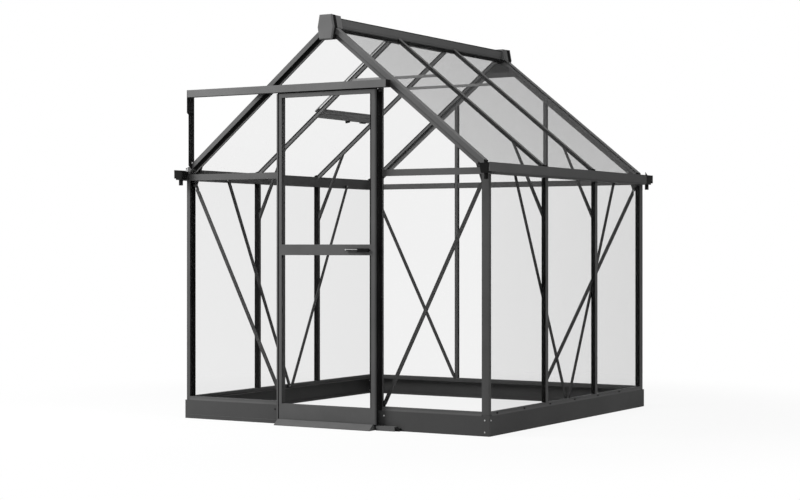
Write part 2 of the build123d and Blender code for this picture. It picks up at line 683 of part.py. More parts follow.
def corner_pane(sx, sy, top):
    """Pane over the cross rail beside the middle bay, up to the rafter and no higher than a level top."""
    slant_x = max(post_far, slope_reach(top, gable_drop))
    gable_pane(
        sy, (sx * post_far, rail_seat_high), (sx * beam_side, rail_seat_high),
        (sx * beam_side, roof_z(beam_side, gable_drop)), (sx * slant_x, roof_z(slant_x, gable_drop)),
        *(((sx * post_far, top),) if slant_x > post_far else ()),
    )


def peak_pane(sy, low, half):
    """Pane from a level lower edge up to the rafters, notched round the ridge cap."""
    side = roof_z(half, gable_drop)
    half_side = ((-half, side), (-half, low), (half, low), (half, side)) if side > low else (
        (-slope_reach(low, gable_drop), low), (slope_reach(low, gable_drop), low),
    )
    notch = CAP_WAIST + PANE_GAP
    gable_pane(
        sy, *half_side, (notch, roof_z(notch, gable_drop)), (notch, pane_peak), (-notch, pane_peak),
        (-notch, roof_z(notch, gable_drop)),
    )


with BuildPart() as glass_front:
    outer_gable_panes(-1, -1, short_edge)
    outer_gable_panes(1, -1, long_edge)
    for sx in (-1, 1):
        corner_pane(sx, -1, peak_low - PANE_GAP)
    peak_pane(-1, peak_low, slope_reach(peak_low, gable_drop))
save(glass_front, "glass_front")

with BuildPart() as glass_back:
    outer_gable_panes(-1, 1, long_edge)
    outer_gable_panes(1, 1, short_edge)
    wall_pane("back", wall_x - post_side, wall_x + post_side, pane_low, rail_seat_low)
    for sx in (-1, 1):
        corner_pane(sx, 1, roof_peak)
    peak_pane(1, rail_seat_high, post_side)
save(glass_back, "glass_back")

VENT_LOW_X = 505.0
ROOF_PANE_END = wall_x + 7.0
roof_edge = wall_y + RAFTER_PROUD - RAFTER_WIDTH + SEAT
ridge_edge = RIDGE_HALF + PANE_GAP


def slab(sx, y0, y1, top_x, low_x, upper=LIP, lower=LIP + GLASS):
    """Slab along a slope between two distances from the ridge line and two depths, in the open part."""
    across(
        (
            (sx * top_x, roof_z(top_x, upper)), (sx * low_x, roof_z(low_x, upper)),
            (sx * low_x, roof_z(low_x, lower)), (sx * top_x, roof_z(top_x, lower)),
        ),
        y0, y1,
    )


with BuildPart() as glass_roof_right:
    slab(1, -roof_edge, -side_bar_y - bar_edge, ridge_edge, ROOF_PANE_END)
    slab(1, bar_edge - side_bar_y, side_bar_y - bar_edge, ridge_edge, ROOF_PANE_END)
    slab(1, side_bar_y + bar_edge, roof_edge, ridge_edge, ROOF_PANE_END)
save(glass_roof_right, "glass_roof_right")

with BuildPart() as glass_roof_left:
    slab(-1, -roof_edge, -side_bar_y - bar_edge, ridge_edge, ROOF_PANE_END)
    slab(-1, bar_edge - side_bar_y, side_bar_y - bar_edge, VENT_LOW_X, ROOF_PANE_END)
    slab(-1, side_bar_y + bar_edge, roof_edge, ridge_edge, ROOF_PANE_END)
save(glass_roof_left, "glass_roof_left")

# ---------------------------------------------------------------- roof vent in the left slope
VENT_PROUD = 10.0
VENT_SLIT = 4.0                 # from the rafters to the vent's sides
VENT_RAIL = 24.0
VENT_SIDE_LAP = 19.0
VENT_BOTTOM = 16.0
VENT_SILL = 21.0
VENT_STEP = 6.0
VENT_EDGE = 5.5
vent_half = side_bar_y + VENT_SIDE_LAP
vent_top_x = RIDGE_HALF + PANE_GAP
vent_low_x = VENT_LOW_X - PANE_GAP
vent_step = VENT_RAIL * square
vent_in = side_bar_y - BAR_WIDTH / 2 - PANE_GAP - PANE_GAP
vent_hole = vent_half - VENT_EDGE
with BuildPart() as vent_frame:
    # narrow sides outside the rafters, a top rail that rests on them and a bottom rail over the sill
    slab(-1, -vent_half, -vent_hole, vent_top_x, vent_low_x, -VENT_PROUD, -VENT_SLIT)
    slab(-1, vent_hole, vent_half, vent_top_x, vent_low_x, -VENT_PROUD, -VENT_SLIT)
    slab(-1, -vent_half, vent_half, vent_top_x, vent_top_x + vent_step, -VENT_PROUD, 0)
    slab(-1, -vent_half, vent_half, vent_low_x - VENT_BOTTOM, vent_low_x, -VENT_PROUD, -VENT_SLIT)
    slab(-1, -vent_in, vent_in, vent_low_x - VENT_BOTTOM, vent_low_x, -VENT_SLIT, LIP)
save(vent_frame, "vent_frame")

with BuildPart() as vent_glass:
    pane = (LIP - VENT_PROUD, LIP + GLASS - VENT_PROUD)
    slab(-1, -vent_hole, vent_hole, vent_top_x + vent_step, vent_low_x - VENT_BOTTOM, *pane)
save(vent_glass, "vent_glass")

with BuildPart() as vent_sill:
    half = side_bar_y - BAR_WIDTH / 2 + LIP
    upper, lower = VENT_LOW_X - VENT_SILL, VENT_LOW_X - VENT_SILL + VENT_STEP
    slab(-1, -half, half, upper, lower, LIP, LIP + GLASS + GLASS)
    slab(-1, -half, half, lower, vent_low_x, LIP, BAR_DEPTH)
save(vent_sill, "vent_sill")

# ---------------------------------------------------------------- door track
TRACK_LOW = 1717.0
TRACK_HEIGHT = 38.0
TRACK_WALL = 2.5
TRACK_LEFT = -872.0
TRACK_RIGHT = 363.0
TRACK_SLOT = 16.0
track_back = -wall_y - 15.0
track_front = -wall_y - 55.0
hanger_y = -wall_y - 30.0
with BuildPart() as door_track:
    track_deep = track_back - track_front
    with BuildSketch(Plane(origin=(TRACK_LEFT, 0, 0), x_dir=(0, 1, 0), z_dir=(1, 0, 0))):
        with Locations(((track_front + track_back) / 2, TRACK_LOW + TRACK_HEIGHT / 2)):
            Rectangle(track_deep, TRACK_HEIGHT)
            Rectangle(track_deep - 2 * TRACK_WALL, TRACK_HEIGHT - 2 * TRACK_WALL, mode=Mode.SUBTRACT)
        with Locations((hanger_y, TRACK_LOW)):
            Rectangle(TRACK_SLOT, 3 * TRACK_WALL, mode=Mode.SUBTRACT)
    extrude(amount=TRACK_RIGHT - TRACK_LEFT)
    box_between(
        (TRACK_RIGHT, track_front, TRACK_LOW),
        (TRACK_RIGHT + PLATE, track_back, TRACK_LOW + TRACK_HEIGHT),
    )
save(door_track, "door_track")

HOLDERS = (-230.0, 0.0, 230.0)
HOLDER_HALF = 15.0
STRUT_OUT = 41.0
STRUT_IN = 6.0
STRUT_STEP = 92.0
STRUT_CHAMFER = 9.0
with BuildPart() as track_supports:
    # end strut on the rafter's face, bent out under the track's end
    foot, over = roof_z(TRACK_LEFT, RAFTER_FACE), roof_z(TRACK_LEFT)
    back, out, rafter_front = STRUT_IN - wall_y, -wall_y - STRUT_OUT, -wall_y - RAFTER_PROUD
    strut = flat(
        (rafter_front, foot), (out, foot + BAR_DEPTH), (out, TRACK_LOW - STRUT_STEP),
        (track_front, TRACK_LOW - STRUT_STEP + STRUT_CHAMFER), (track_front, TRACK_LOW + TRACK_HEIGHT),
        (back, TRACK_LOW + TRACK_HEIGHT), (back, over + STRUT_IN),
        (rafter_front, over + STRUT_IN),
    )
    extrusion(strut, Plane.YZ.offset(TRACK_LEFT - PLATE), PLATE)
    for x in HOLDERS:
        box_between(
            (x - HOLDER_HALF, track_back, HEADER_LOW),
            (x + HOLDER_HALF, -wall_y, HEADER_LOW + RAIL_HEIGHT),
        )
save(track_supports, "track_supports")

RAMP_FROM = -292.0
RAMP_TO = 287.0
RAMP_OUT = 78.0
RAMP_SHELF = 35.0
RAMP_TOP = 23.5
RAMP_EDGE = 2.0
STEP_FROM = 297.0
STEP_TO = 404.0
STEP_OUT = 30.0
with BuildPart() as threshold_ramp:
    # ramp with a level shelf under the door, and a low block beside it
    wedge = flat(
        (-base_y, 0), (-base_y - RAMP_OUT, 0), (-base_y - RAMP_OUT, RAMP_EDGE),
        (-base_y - RAMP_SHELF, RAMP_TOP), (-base_y, RAMP_TOP),
    )
    extrusion(wedge, Plane.YZ.offset(RAMP_FROM), RAMP_TO - RAMP_FROM)
    box_between((STEP_FROM, -base_y - STEP_OUT, 0), (STEP_TO, -base_y, RAMP_TOP))
save(threshold_ramp, "threshold_ramp")

# ---------------------------------------------------------------- sliding door
DOOR_PLAY = 6.0                 # from the gable rafters' faces to the door's back
DOOR_THICK = 20.0
STILE = 31.0
TOP_RAIL = 21.0
MID_RAIL = 55.0
MID_RAIL_LOW = 877.0
FOOT_RAIL = 81.0
door_top = DOOR_LIFT + DOOR_HEIGHT
door_mid = -wall_y - RAFTER_PROUD - DOOR_PLAY - DOOR_THICK / 2
door_front = door_mid - DOOR_THICK / 2
stile_in = DOOR_WIDTH / 2 - STILE
STILE_BEVEL = (10.0, 6.0)
PULL_GROOVE = (8.0, 7.0, 9.0)   # from the left stile's edge, width and depth
with BuildPart() as door_stiles:
    with BuildSketch(Plane.XY.offset(DOOR_LIFT)):
        for sx in (-1, 1):
            with Locations((sx * (stile_in + STILE / 2), door_mid)):
                Rectangle(STILE, DOOR_THICK)
            with Locations((sx * (stile_in + slot_depth / 2), door_mid)):
                Rectangle(slot_depth, POCKET, mode=Mode.SUBTRACT)
            core_in, core_out = stile_in + slot_depth + THIN, DOOR_WIDTH / 2 - THIN
            core_front, core_back = door_front + PULL_GROOVE[2] + THIN, door_front + DOOR_THICK - THIN
            with Locations((sx * (core_in + core_out) / 2, (core_front + core_back) / 2)):
                Rectangle(core_out - core_in, core_back - core_front, mode=Mode.SUBTRACT)
        edge = DOOR_WIDTH / 2
        bevel = flat(
            (edge - STILE_BEVEL[0], door_front), (edge, door_front), (edge, door_front + STILE_BEVEL[1]),
        )
        add(bevel, mode=Mode.SUBTRACT)
        with Locations((PULL_GROOVE[0] + PULL_GROOVE[1] / 2 - edge, door_front + PULL_GROOVE[2] / 2)):
            Rectangle(PULL_GROOVE[1], PULL_GROOVE[2], mode=Mode.SUBTRACT)
    extrude(amount=DOOR_HEIGHT)
save(door_stiles, "door_stiles")

foot_rail = (DOOR_LIFT, DOOR_LIFT + FOOT_RAIL)
mid_rail = (MID_RAIL_LOW, MID_RAIL_LOW + MID_RAIL)
top_rail = (door_top - TOP_RAIL, door_top)
with BuildPart() as door_rails:
    for (z0, z1), slots in ((foot_rail, (1,)), (mid_rail, (0, 1)), (top_rail, (0,))):
        with BuildSketch(Plane.YZ.offset(-stile_in)):
            with Locations((door_mid, (z0 + z1) / 2)):
                Rectangle(DOOR_THICK, z1 - z0)
            for upper in slots:
                middle = z1 - slot_depth / 2 if upper else z0 + slot_depth / 2
                with Locations((door_mid, middle)):
                    Rectangle(POCKET, slot_depth, mode=Mode.SUBTRACT)
            core_low = z0 + THIN if 0 not in slots else z0 + slot_depth + THIN
            core_high = z1 - THIN if 1 not in slots else z1 - slot_depth - THIN
            with Locations((door_mid, (core_low + core_high) / 2)):
                Rectangle(DOOR_THICK - 2 * THIN, core_high - core_low, mode=Mode.SUBTRACT)
        extrude(amount=2 * stile_in)
save(door_rails, "door_rails")

with BuildPart() as door_glass:
    for below, above in ((foot_rail, mid_rail), (mid_rail, top_rail)):
        box_between(
            (-stile_in - SEAT, door_mid - GLASS / 2, below[1] - slot_depth),
            (stile_in + SEAT, door_mid + GLASS / 2, above[0] + SEAT),
        )
save(door_glass, "door_glass")

HANDLE_Z = 903.0
HANDLE_LEFT = 126.0
GRIP_LEFT = 198.0
GRIP_LONG = 68.0
GRIP_HALF = 9.0
GRIP_OUT = 16.0
with BuildPart() as door_handle:
    end = GRIP_LEFT + GRIP_LONG
    grip = (
        (GRIP_LEFT, HANDLE_Z - GRIP_HALF), (end - GRIP_HALF, HANDLE_Z - GRIP_HALF), (end, HANDLE_Z),
        (end - GRIP_HALF, HANDLE_Z + GRIP_HALF), (GRIP_LEFT, HANDLE_Z + GRIP_HALF),
    )
    across(grip, door_front - GRIP_OUT, door_front)
    box_between(
        (HANDLE_LEFT, door_front - GRIP_OUT, HANDLE_Z - GRIP_HALF / 2),
        (GRIP_LEFT + GRIP_HALF, door_front - GRIP_OUT / 2, HANDLE_Z + GRIP_HALF / 2),
    )
save(door_handle, "door_handle")

WHEEL = 22.0
WHEEL_THICK = 7.0
WHEEL_PLAY = 0.3
WHEEL_OUT = 10.0
AXLE = 8.0
ROLLERS = (-210.0, 210.0)
HANGER_RISE = 14.0
with BuildPart() as door_rollers:
    # black hanger strip along the door's top, up into the track's slot, with two wheels on it
    box_between(
        (-DOOR_WIDTH / 2, hanger_y - THIN, door_top),
        (DOOR_WIDTH / 2, hanger_y + THIN, door_top + HANGER_RISE),
    )
    wheel_z = TRACK_LOW + TRACK_WALL + WHEEL_PLAY + WHEEL / 2
    wheel_y = hanger_y - WHEEL_OUT
    for x in ROLLERS:
        with Locations(Location((x, wheel_y, wheel_z), (90, 0, 0))):
            Cylinder(WHEEL / 2, WHEEL_THICK)
        with Locations(Location((x, (wheel_y + hanger_y) / 2, wheel_z), (90, 0, 0))):
            Cylinder(AXLE / 2, WHEEL_OUT)
        box_between(
            (x - HOLDER_HALF, hanger_y - THIN, door_top),
            (x + HOLDER_HALF, hanger_y + THIN, wheel_z + AXLE),
        )
save(door_rollers, "door_rollers")
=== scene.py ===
"""Looks of a small walk-in garden greenhouse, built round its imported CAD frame.

Every piece is in metres in the frame of the CAD model: X to the right seen from the door gable,
Y to the back, Z up, with the origin on the ground in the middle of the base.
"""

import json
import logging
import math
from dataclasses import dataclass, field
from enum import Enum
from typing import Sequence

import bpy
import numpy as np
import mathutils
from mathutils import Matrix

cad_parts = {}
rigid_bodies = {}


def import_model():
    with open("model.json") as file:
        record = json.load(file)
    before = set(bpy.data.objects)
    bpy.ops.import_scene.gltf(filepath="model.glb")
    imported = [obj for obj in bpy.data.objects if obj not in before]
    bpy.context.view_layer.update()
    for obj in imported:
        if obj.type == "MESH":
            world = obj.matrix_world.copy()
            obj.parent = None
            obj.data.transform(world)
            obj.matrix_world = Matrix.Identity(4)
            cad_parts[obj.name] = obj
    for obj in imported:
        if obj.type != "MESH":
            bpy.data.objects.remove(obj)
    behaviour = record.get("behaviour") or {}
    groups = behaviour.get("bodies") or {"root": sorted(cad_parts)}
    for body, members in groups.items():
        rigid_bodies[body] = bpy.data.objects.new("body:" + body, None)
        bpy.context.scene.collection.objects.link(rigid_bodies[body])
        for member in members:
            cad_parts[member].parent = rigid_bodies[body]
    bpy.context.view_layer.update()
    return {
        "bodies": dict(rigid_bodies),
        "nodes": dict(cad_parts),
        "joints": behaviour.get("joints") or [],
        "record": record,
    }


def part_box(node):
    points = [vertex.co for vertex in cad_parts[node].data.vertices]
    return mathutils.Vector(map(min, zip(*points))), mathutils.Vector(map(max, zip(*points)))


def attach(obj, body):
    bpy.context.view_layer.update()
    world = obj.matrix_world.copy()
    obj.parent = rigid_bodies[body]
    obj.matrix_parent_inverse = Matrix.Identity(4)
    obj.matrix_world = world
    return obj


log = logging.getLogger("greenhouse")

# Signs of X and Y at the four corners of a rectangle round the origin.
SIGNS = ((-1, -1), (-1, 1), (1, -1), (1, 1))
# Grey of a channel's dark end.
END_BLACK = 0.005
# Stretch of a noise's output that is spread over a range, cutting off its rare ends.
NOISE_SPAN = (0.3, 0.7)
# An edge's radius is at most the side of a bar or of a block over these.
BAR_ROUNDING = 2.01
BLOCK_ROUNDING = 2.2
# Share of Z in a direction from which it counts as upright.
UPRIGHT = 0.9

Colour = tuple[float, float, float]
Vector = Sequence[float]
Span = tuple[float, float]


class Body(Enum):
    """Rigid bodies that a piece can ride on."""

    HOUSE = "house"
    DOOR = "door"


class Slot(Enum):
    """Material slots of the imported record."""

    FRAME = "frame_coat"
    BASE = "base_coat"
    BRACE = "brace_coat"
    PLASTIC = "black_plastic"
    GLAZING = "glazing"


# ------------------------------------------------------------------------------------ finishes
def grey(tone: float) -> Colour:
    """Neutral colour of a tone."""
    return (tone, tone, tone)


@dataclass
class Graph:
    """Node tree of a material or a world, with short ways to add and join nodes.

    Attributes:
        owner: The material or world.
    """

    owner: bpy.types.Material | bpy.types.World

    @classmethod
    def blank(cls, owner: bpy.types.Material | bpy.types.World) -> "Graph":
        """Empty the node tree of a new material or world.

        Args:
            owner: The material or world.

        Returns:
            The graph of its empty tree.
        """
        owner.use_nodes = True
        owner.node_tree.nodes.clear()
        return cls(owner)

    def add(self, kind: str, **settings: object) -> bpy.types.Node:
        """Add a node and set its properties and input defaults.

        Args:
            kind: Blender's name of the node type.
            settings: Properties by their own name; inputs by name with spaces written as "_".

        Returns:
            The new node.
        """
        node = self.owner.node_tree.nodes.new(kind)
        for name, value in settings.items():
            if hasattr(node, name):
                setattr(node, name, value)
            else:
                node.inputs[name.replace("_", " ")].default_value = value
        return node

    def join(self, source: bpy.types.NodeSocket, target: bpy.types.NodeSocket) -> None:
        """Link an output socket to an input socket."""
        self.owner.node_tree.links.new(source, target)

    def worked_out(self, operation: str, *values: bpy.types.NodeSocket | float) -> bpy.types.NodeSocket:
        """Work out a number from sockets and plain numbers.

        Args:
            operation: Blender's name of the operation.
            values: What it works on, in order.

        Returns:
            The socket with the result.
        """
        node = self.add("ShaderNodeMath", operation=operation)
        for target, value in zip(node.inputs, values):
            if isinstance(value, bpy.types.NodeSocket):
                self.join(value, target)
            else:
                target.default_value = value
        return node.outputs["Value"]

    def seen(self) -> bpy.types.NodeSocket:
        """Tell the rays that end in the eye, straight or by a mirror or glass, from those that light.

        Returns:
            A socket with 1 for the rays of the eye and 0 for the others.
        """
        rays = self.add("ShaderNodeLightPath").outputs
        either = self.worked_out("MAXIMUM", rays["Is Camera Ray"], rays["Is Glossy Ray"])
        return self.worked_out("MAXIMUM", either, rays["Is Transmission Ray"])

    def mixed(self, share: bpy.types.NodeSocket, first: bpy.types.NodeSocket,
              second: bpy.types.NodeSocket) -> bpy.types.NodeSocket:
        """Mix two shaders.

        Args:
            share: Socket with 0 for the first shader and 1 for the second.
            first: One shader.
            second: The other shader.

        Returns:
            The socket with the mix.
        """
        node = self.add("ShaderNodeMixShader")
        for source, target in zip((share, first, second), node.inputs):
            self.join(source, target)
        return node.outputs["Shader"]

    def noise(self, scale: float, detail: float, rough: float = 0.5) -> bpy.types.Node:
        """Add noise on Object coordinates.

        Args:
            scale: Waves in one metre.
            detail: Number of finer octaves.
            rough: How strong the finer octaves are.

        Returns:
            The noise node.
        """
        place = self.add("ShaderNodeTexCoord")
        node = self.add("ShaderNodeTexNoise", Scale=scale, Detail=detail, Roughness=rough)
        self.join(place.outputs["Object"], node.inputs["Vector"])
        return node

    def spread(self, source: bpy.types.NodeSocket, low: float, high: float) -> bpy.types.NodeSocket:
        """Map a middle stretch of noise to a range of numbers.

        Args:
            source: Socket with the noise.
            low: Number for dark noise.
            high: Number for bright noise.

        Returns:
            The socket with the mapped number.
        """
        start, stop = NOISE_SPAN
        node = self.add("ShaderNodeMapRange", From_Min=start, From_Max=stop, To_Min=low, To_Max=high)
        self.join(source, node.inputs["Value"])
        return node.outputs["Result"]

    def tinted(self, factor: bpy.types.NodeSocket, dark: Colour, light: Colour) -> bpy.types.NodeSocket:
        """Blend two colours by a factor.

        Args:
            factor: Socket with 0 for the dark colour and 1 for the light one.
            dark: First colour.
            light: Second colour.

        Returns:
            The socket with the blended colour.
        """
        node = self.add("ShaderNodeMix", data_type="RGBA", A=(*dark, 1.0), B=(*light, 1.0))
        self.join(factor, node.inputs["Factor"])
        return node.outputs["Result"]

    def blackened(self, colour: bpy.types.NodeSocket, start: float) -> bpy.types.NodeSocket:
        """Turn a colour black where the Object coordinate Y is past a start.

        Args:
            colour: Socket with the colour.
            start: Y at which the black begins, in metres.

        Returns:
            The socket with the new colour.
        """
        place = self.add("ShaderNodeTexCoord")
        split = self.add("ShaderNodeSeparateXYZ")
        self.join(place.outputs["Object"], split.inputs["Vector"])
        mix = self.add("ShaderNodeMix", data_type="RGBA", B=(*grey(END_BLACK), 1.0))
        self.join(self.worked_out("GREATER_THAN", split.outputs["Y"], start), mix.inputs["Factor"])
        self.join(colour, mix.inputs["A"])
        return mix.outputs["Result"]

    def steepened(self, source: bpy.types.NodeSocket, power: float, full: float, low: float,
                  high: float) -> bpy.types.NodeSocket:
        """Raise a number to a power and map it to a range.

        Args:
            source: Socket with the number.
            power: The power.
            full: Raised number at which the range ends.
            low: Start of the range.
            high: End of the range.

        Returns:
            The socket with the mapped number.
        """
        node = self.add("ShaderNodeMapRange", From_Max=full, To_Min=low, To_Max=high)
        self.join(self.worked_out("POWER", source, power), node.inputs["Value"])
        return node.outputs["Result"]

    def bumped(self, height: bpy.types.NodeSocket, depth: float, strength: float) -> bpy.types.NodeSocket:
        """Turn a height into a normal.

        Args:
            height: Socket with the height from 0 to 1.
            depth: Height of 1, in metres.
            strength: How strongly the normal follows.

        Returns:
            The socket with the normal.
        """
        node = self.add("ShaderNodeBump", Distance=depth, Strength=strength)
        self.join(height, node.inputs["Height"])
        return node.outputs["Normal"]

    def finish(self, shader: bpy.types.NodeSocket,
               output: str = "ShaderNodeOutputMaterial") -> bpy.types.Material | bpy.types.World:
        """Join the last shader to a new output node, and return the material or world."""
        self.join(shader, self.add(output).inputs["Surface"])
        return self.owner


@dataclass(frozen=True)
class Coat:
    """Painted or moulded surface: cloudy colour, fine texture, and uneven gloss.

    Attributes:
        name: Name of the material.
        tone: Middle of its grey.
        gloss: Roughness in the clouds' dark and bright parts.
        unevenness: Share by which the grey varies up and down.
        metallic: Share of bare metal.
        specular: Strength of its mirror.
        cloud_scale: Clouds in one metre.
        cloud_detail: Number of the clouds' finer octaves.
        cloud_rough: How strong these are.
        texture_scale: Grains in one metre.
        texture_detail: Number of the grain's finer octaves.
        texture_depth: Depth of the grain, in metres.
        texture_strength: How strongly the grain bends the light.
        black_from: Y past which the surface is black, if it is anywhere.
    """

    name: str
    tone: float
    gloss: Span
    unevenness: float = 0.1
    metallic: float = 0.0
    specular: float = 0.12
    cloud_scale: float = 5.0
    cloud_detail: float = 4.0
    cloud_rough: float = 0.6
    texture_scale: float = 900.0
    texture_detail: float = 2.0
    texture_depth: float = 0.00012
    texture_strength: float = 0.25
    black_from: float | None = None

    def build(self) -> bpy.types.Material:
        """Make the material.

        Returns:
            A Principled material whose colour, roughness and normal come from noise.
        """
        graph = Graph.blank(bpy.data.materials.new(self.name))
        clouds = graph.noise(self.cloud_scale, self.cloud_detail, self.cloud_rough)
        grain = graph.noise(self.texture_scale, self.texture_detail)
        shader = graph.add(
            "ShaderNodeBsdfPrincipled", Metallic=self.metallic, Specular_IOR_Level=self.specular
        )
        dark, light = grey(self.tone * (1 - self.unevenness)), grey(self.tone * (1 + self.unevenness))
        colour = graph.tinted(graph.spread(clouds.outputs["Fac"], 0.0, 1.0), dark, light)
        if self.black_from is not None:
            colour = graph.blackened(colour, self.black_from)
        graph.join(colour, shader.inputs["Base Color"])
        graph.join(graph.spread(clouds.outputs["Fac"], *self.gloss), shader.inputs["Roughness"])
        normal = graph.bumped(grain.outputs["Fac"], self.texture_depth, self.texture_strength)
        graph.join(normal, shader.inputs["Normal"])
        return graph.finish(shader.outputs["BSDF"])


@dataclass(frozen=True)
class ClearGlass:
    """Flat clear pane: lets light straight through with a tint, and mirrors a little.

    Attributes:
        name: Name of the material.
        tint: Colour that it gives what is seen square through it.
        edge_tint: Colour that it gives what is seen at a slant.
        tint_power: How late the tint turns to that of the slant.
        tint_full: Raised slant at which it has turned fully.
        mirror: Mirrored share seen edge-on.
        mirror_power: How late the mirrored share rises.
        roughness: Blur of the mirror.
    """

    name: str
    tint: Colour
    edge_tint: Colour
    tint_power: float = 3.4
    tint_full: float = 0.49
    mirror: float = 0.25
    mirror_power: float = 9.0
    roughness: float = 0.03

    def build(self) -> bpy.types.Material:
        """Make the material.

        With the slant s = 1 - cos a, the tint goes from square to slanting with s to the tint's
        power, and the mirrored share rises from nothing with s to its own, the same from both sides.

        Returns:
            A mix of a clear and a mirroring shader.
        """
        graph = Graph.blank(bpy.data.materials.new(self.name))
        # A Blend of one half gives the slant itself.
        slant = graph.add("ShaderNodeLayerWeight", Blend=0.5).outputs["Facing"]
        clear = graph.add("ShaderNodeBsdfTransparent")
        tinting = graph.steepened(slant, self.tint_power, self.tint_full, 0.0, 1.0)
        graph.join(graph.tinted(tinting, self.tint, self.edge_tint), clear.inputs["Color"])
        bright = graph.add("ShaderNodeBsdfAnisotropic", Roughness=self.roughness, Color=(*grey(1.0), 1.0))
        share = graph.steepened(slant, self.mirror_power, 1.0, 0.0, self.mirror)
        return graph.finish(graph.mixed(share, clear.outputs["BSDF"], bright.outputs["BSDF"]))


@dataclass(frozen=True)
class PaleFloor:
    """Studio floor: white to the eye, and darker only where the object shades it.

    Attributes:
        name: Name of the material.
        lit_tone: Grey of the surface that takes the light.
        lit_share: Share of that surface under the object.
        reach: Distance from the origin at which the share is nothing; it starts to fade at half.
    """

    name: str
    lit_tone: float = 0.6
    lit_share: float = 0.09
    reach: float = 3.2

    def build(self) -> bpy.types.Material:
        """Make the material.

        Returns:
            White light mixed with a lit surface, whose share fades out away from the object.
        """
        graph = Graph.blank(bpy.data.materials.new(self.name))
        lit = graph.add("ShaderNodeBsdfDiffuse", Color=(*grey(self.lit_tone), 1.0))
        glow = graph.add("ShaderNodeEmission", Strength=1.0)
        radius = graph.add("ShaderNodeVectorMath", operation="LENGTH")
        graph.join(graph.add("ShaderNodeTexCoord").outputs["Object"], radius.inputs[0])
        fade = graph.add(
            "ShaderNodeMapRange", interpolation_type="SMOOTHSTEP",
            From_Min=self.reach / 2, From_Max=self.reach, To_Min=1.0 - self.lit_share, To_Max=1.0,
        )
        graph.join(radius.outputs["Value"], fade.inputs["Value"])
        share = graph.worked_out("MULTIPLY", graph.seen(), fade.outputs["Result"])
        return graph.finish(graph.mixed(share, lit.outputs["BSDF"], glow.outputs["Emission"]))


class Finishes:
    """All the finishes of the greenhouse, each made once."""

    def __init__(self) -> None:
        """Make every material."""
        satin = (0.48, 0.60)
        self.frame = Coat("frame_coat", 0.068, satin).build()
        # Painted shade: a darker copy of the frame coat for the corner posts.
        self.post = Coat("post_coat_painted_shade", 0.056, satin).build()
        # Painted light: a lighter copy of the frame coat with less gloss for the right gutter, its brightness
        # put in the colour.
        self.gutter = Coat("gutter_coat_painted_light", 0.098, satin, specular=0.03, black_from=0.915).build()
        # Painted light: a lighter copy of the frame coat for the door track, ridge caps, rear gable and left
        # rafters, caps' hoods, gable beads and base crease.
        self.painted_light_trim = Coat("trim_coat_painted_light", 0.088, satin).build()
        # Painted light: a slightly lighter copy of the frame coat for the front gable's rafters.
        self.rafter = Coat("rafter_coat_painted_light", 0.077, satin).build()
        # Painted light: a much lighter copy of the frame coat for the vent's frame and sill and the collar
        # ties.
        self.vent = Coat("vent_coat_painted_light", 0.160, satin).build()
        # Painted shade: a much darker copy of the frame coat for the left wall's bars, seen in the shade
        # inside.
        self.shaded = Coat("painted_shade_coat", 0.028, satin).build()
        self.base = Coat("base_coat", 0.048, (0.50, 0.66), cloud_scale=3.0).build()
        # Painted light: a lighter copy of the base coat for the ramp and its lip, whose slope gets little of
        # the low lamp's light.
        self.painted_light_tread = Coat("tread_coat_painted_light", 0.085, (0.55, 0.70), cloud_scale=8.0).build()
        self.brace = Coat("brace_coat", 0.046, (0.46, 0.58)).build()
        # Black moulded plastic, also used as painted shade on the track's supports, end and lower edge, and
        # the rear gutter fin.
        self.plastic = Coat(
            "moulded_plastic_and_painted_shade", 0.0085, (0.5, 0.65), unevenness=0.2, specular=0.06, texture_scale=1500.0
        ).build()
        # Black rubber for the handle's body and gaskets, also used as painted shade in strips on bars, posts,
        # rafters, gable, ridge, door posts, the right stile and cap necks.
        self.rubber = Coat(
            "seal_rubber_and_painted_shade", 0.0105, (0.65, 0.8), unevenness=0.25, specular=0.01, texture_strength=0.1
        ).build()
        self.bolt = Coat("zinc_bolt", 0.48, (0.28, 0.42), metallic=1.0, specular=0.5).build()
        # Painted highlight: bright metal for the vent's lip and the front gutter fin, and partly for the
        # handle's lever and bolt.
        self.satin_metal_painted_highlight = Coat("satin_metal_painted_highlight", 0.40, (0.30, 0.42), metallic=0.6, specular=0.5).build()
        self.glass = ClearGlass("clear_glass", grey(0.970), grey(0.650)).build()
        # Painted light: lighter copies of the clear glass for the roof's two slopes, the left one also on the
        # vent.
        self.left_roof_glass_painted_light = ClearGlass("left_roof_glass_painted_light", grey(0.990), grey(0.930)).build()
        self.right_roof_glass_painted_light = ClearGlass("right_roof_glass_painted_light", grey(0.975), grey(0.675)).build()
        self.floor = PaleFloor("pale_floor").build()


# ------------------------------------------------------------------------------------ surfaces
@dataclass
class Surface:
    """Points and faces of one mesh.

    Attributes:
        points: The points, three columns.
        faces: Arrays of faces by their points' numbers, each array with faces of one size.
    """

    points: np.ndarray
    faces: list[np.ndarray]

    def copies(self, places: np.ndarray) -> "Surface":
        """Repeat the surface at many places.

        Each copied point is place · point, with place a 4 by 4 matrix.

        Args:
            places: Array of 4 by 4 matrices.

        Returns:
            One surface with all the copies.
        """
        flat = np.c_[self.points, np.ones(len(self.points))]
        moved = np.einsum("kij,nj->kni", places, flat)[..., :3]
        step = np.arange(len(places)) * len(self.points)
        faces = [(f[None] + step[:, None, None]).reshape(-1, f.shape[1]) for f in self.faces]
        return Surface(moved.reshape(-1, 3), faces)


def merged(parts: Sequence[Surface]) -> Surface:
    """Join surfaces into one.

    Args:
        parts: The surfaces.

    Returns:
        One surface with all their points and faces, in their order.
    """
    starts = np.cumsum([0] + [len(part.points) for part in parts])
    faces = [rows + start for part, start in zip(parts, starts) for rows in part.faces]
    return Surface(np.concatenate([part.points for part in parts]), faces)


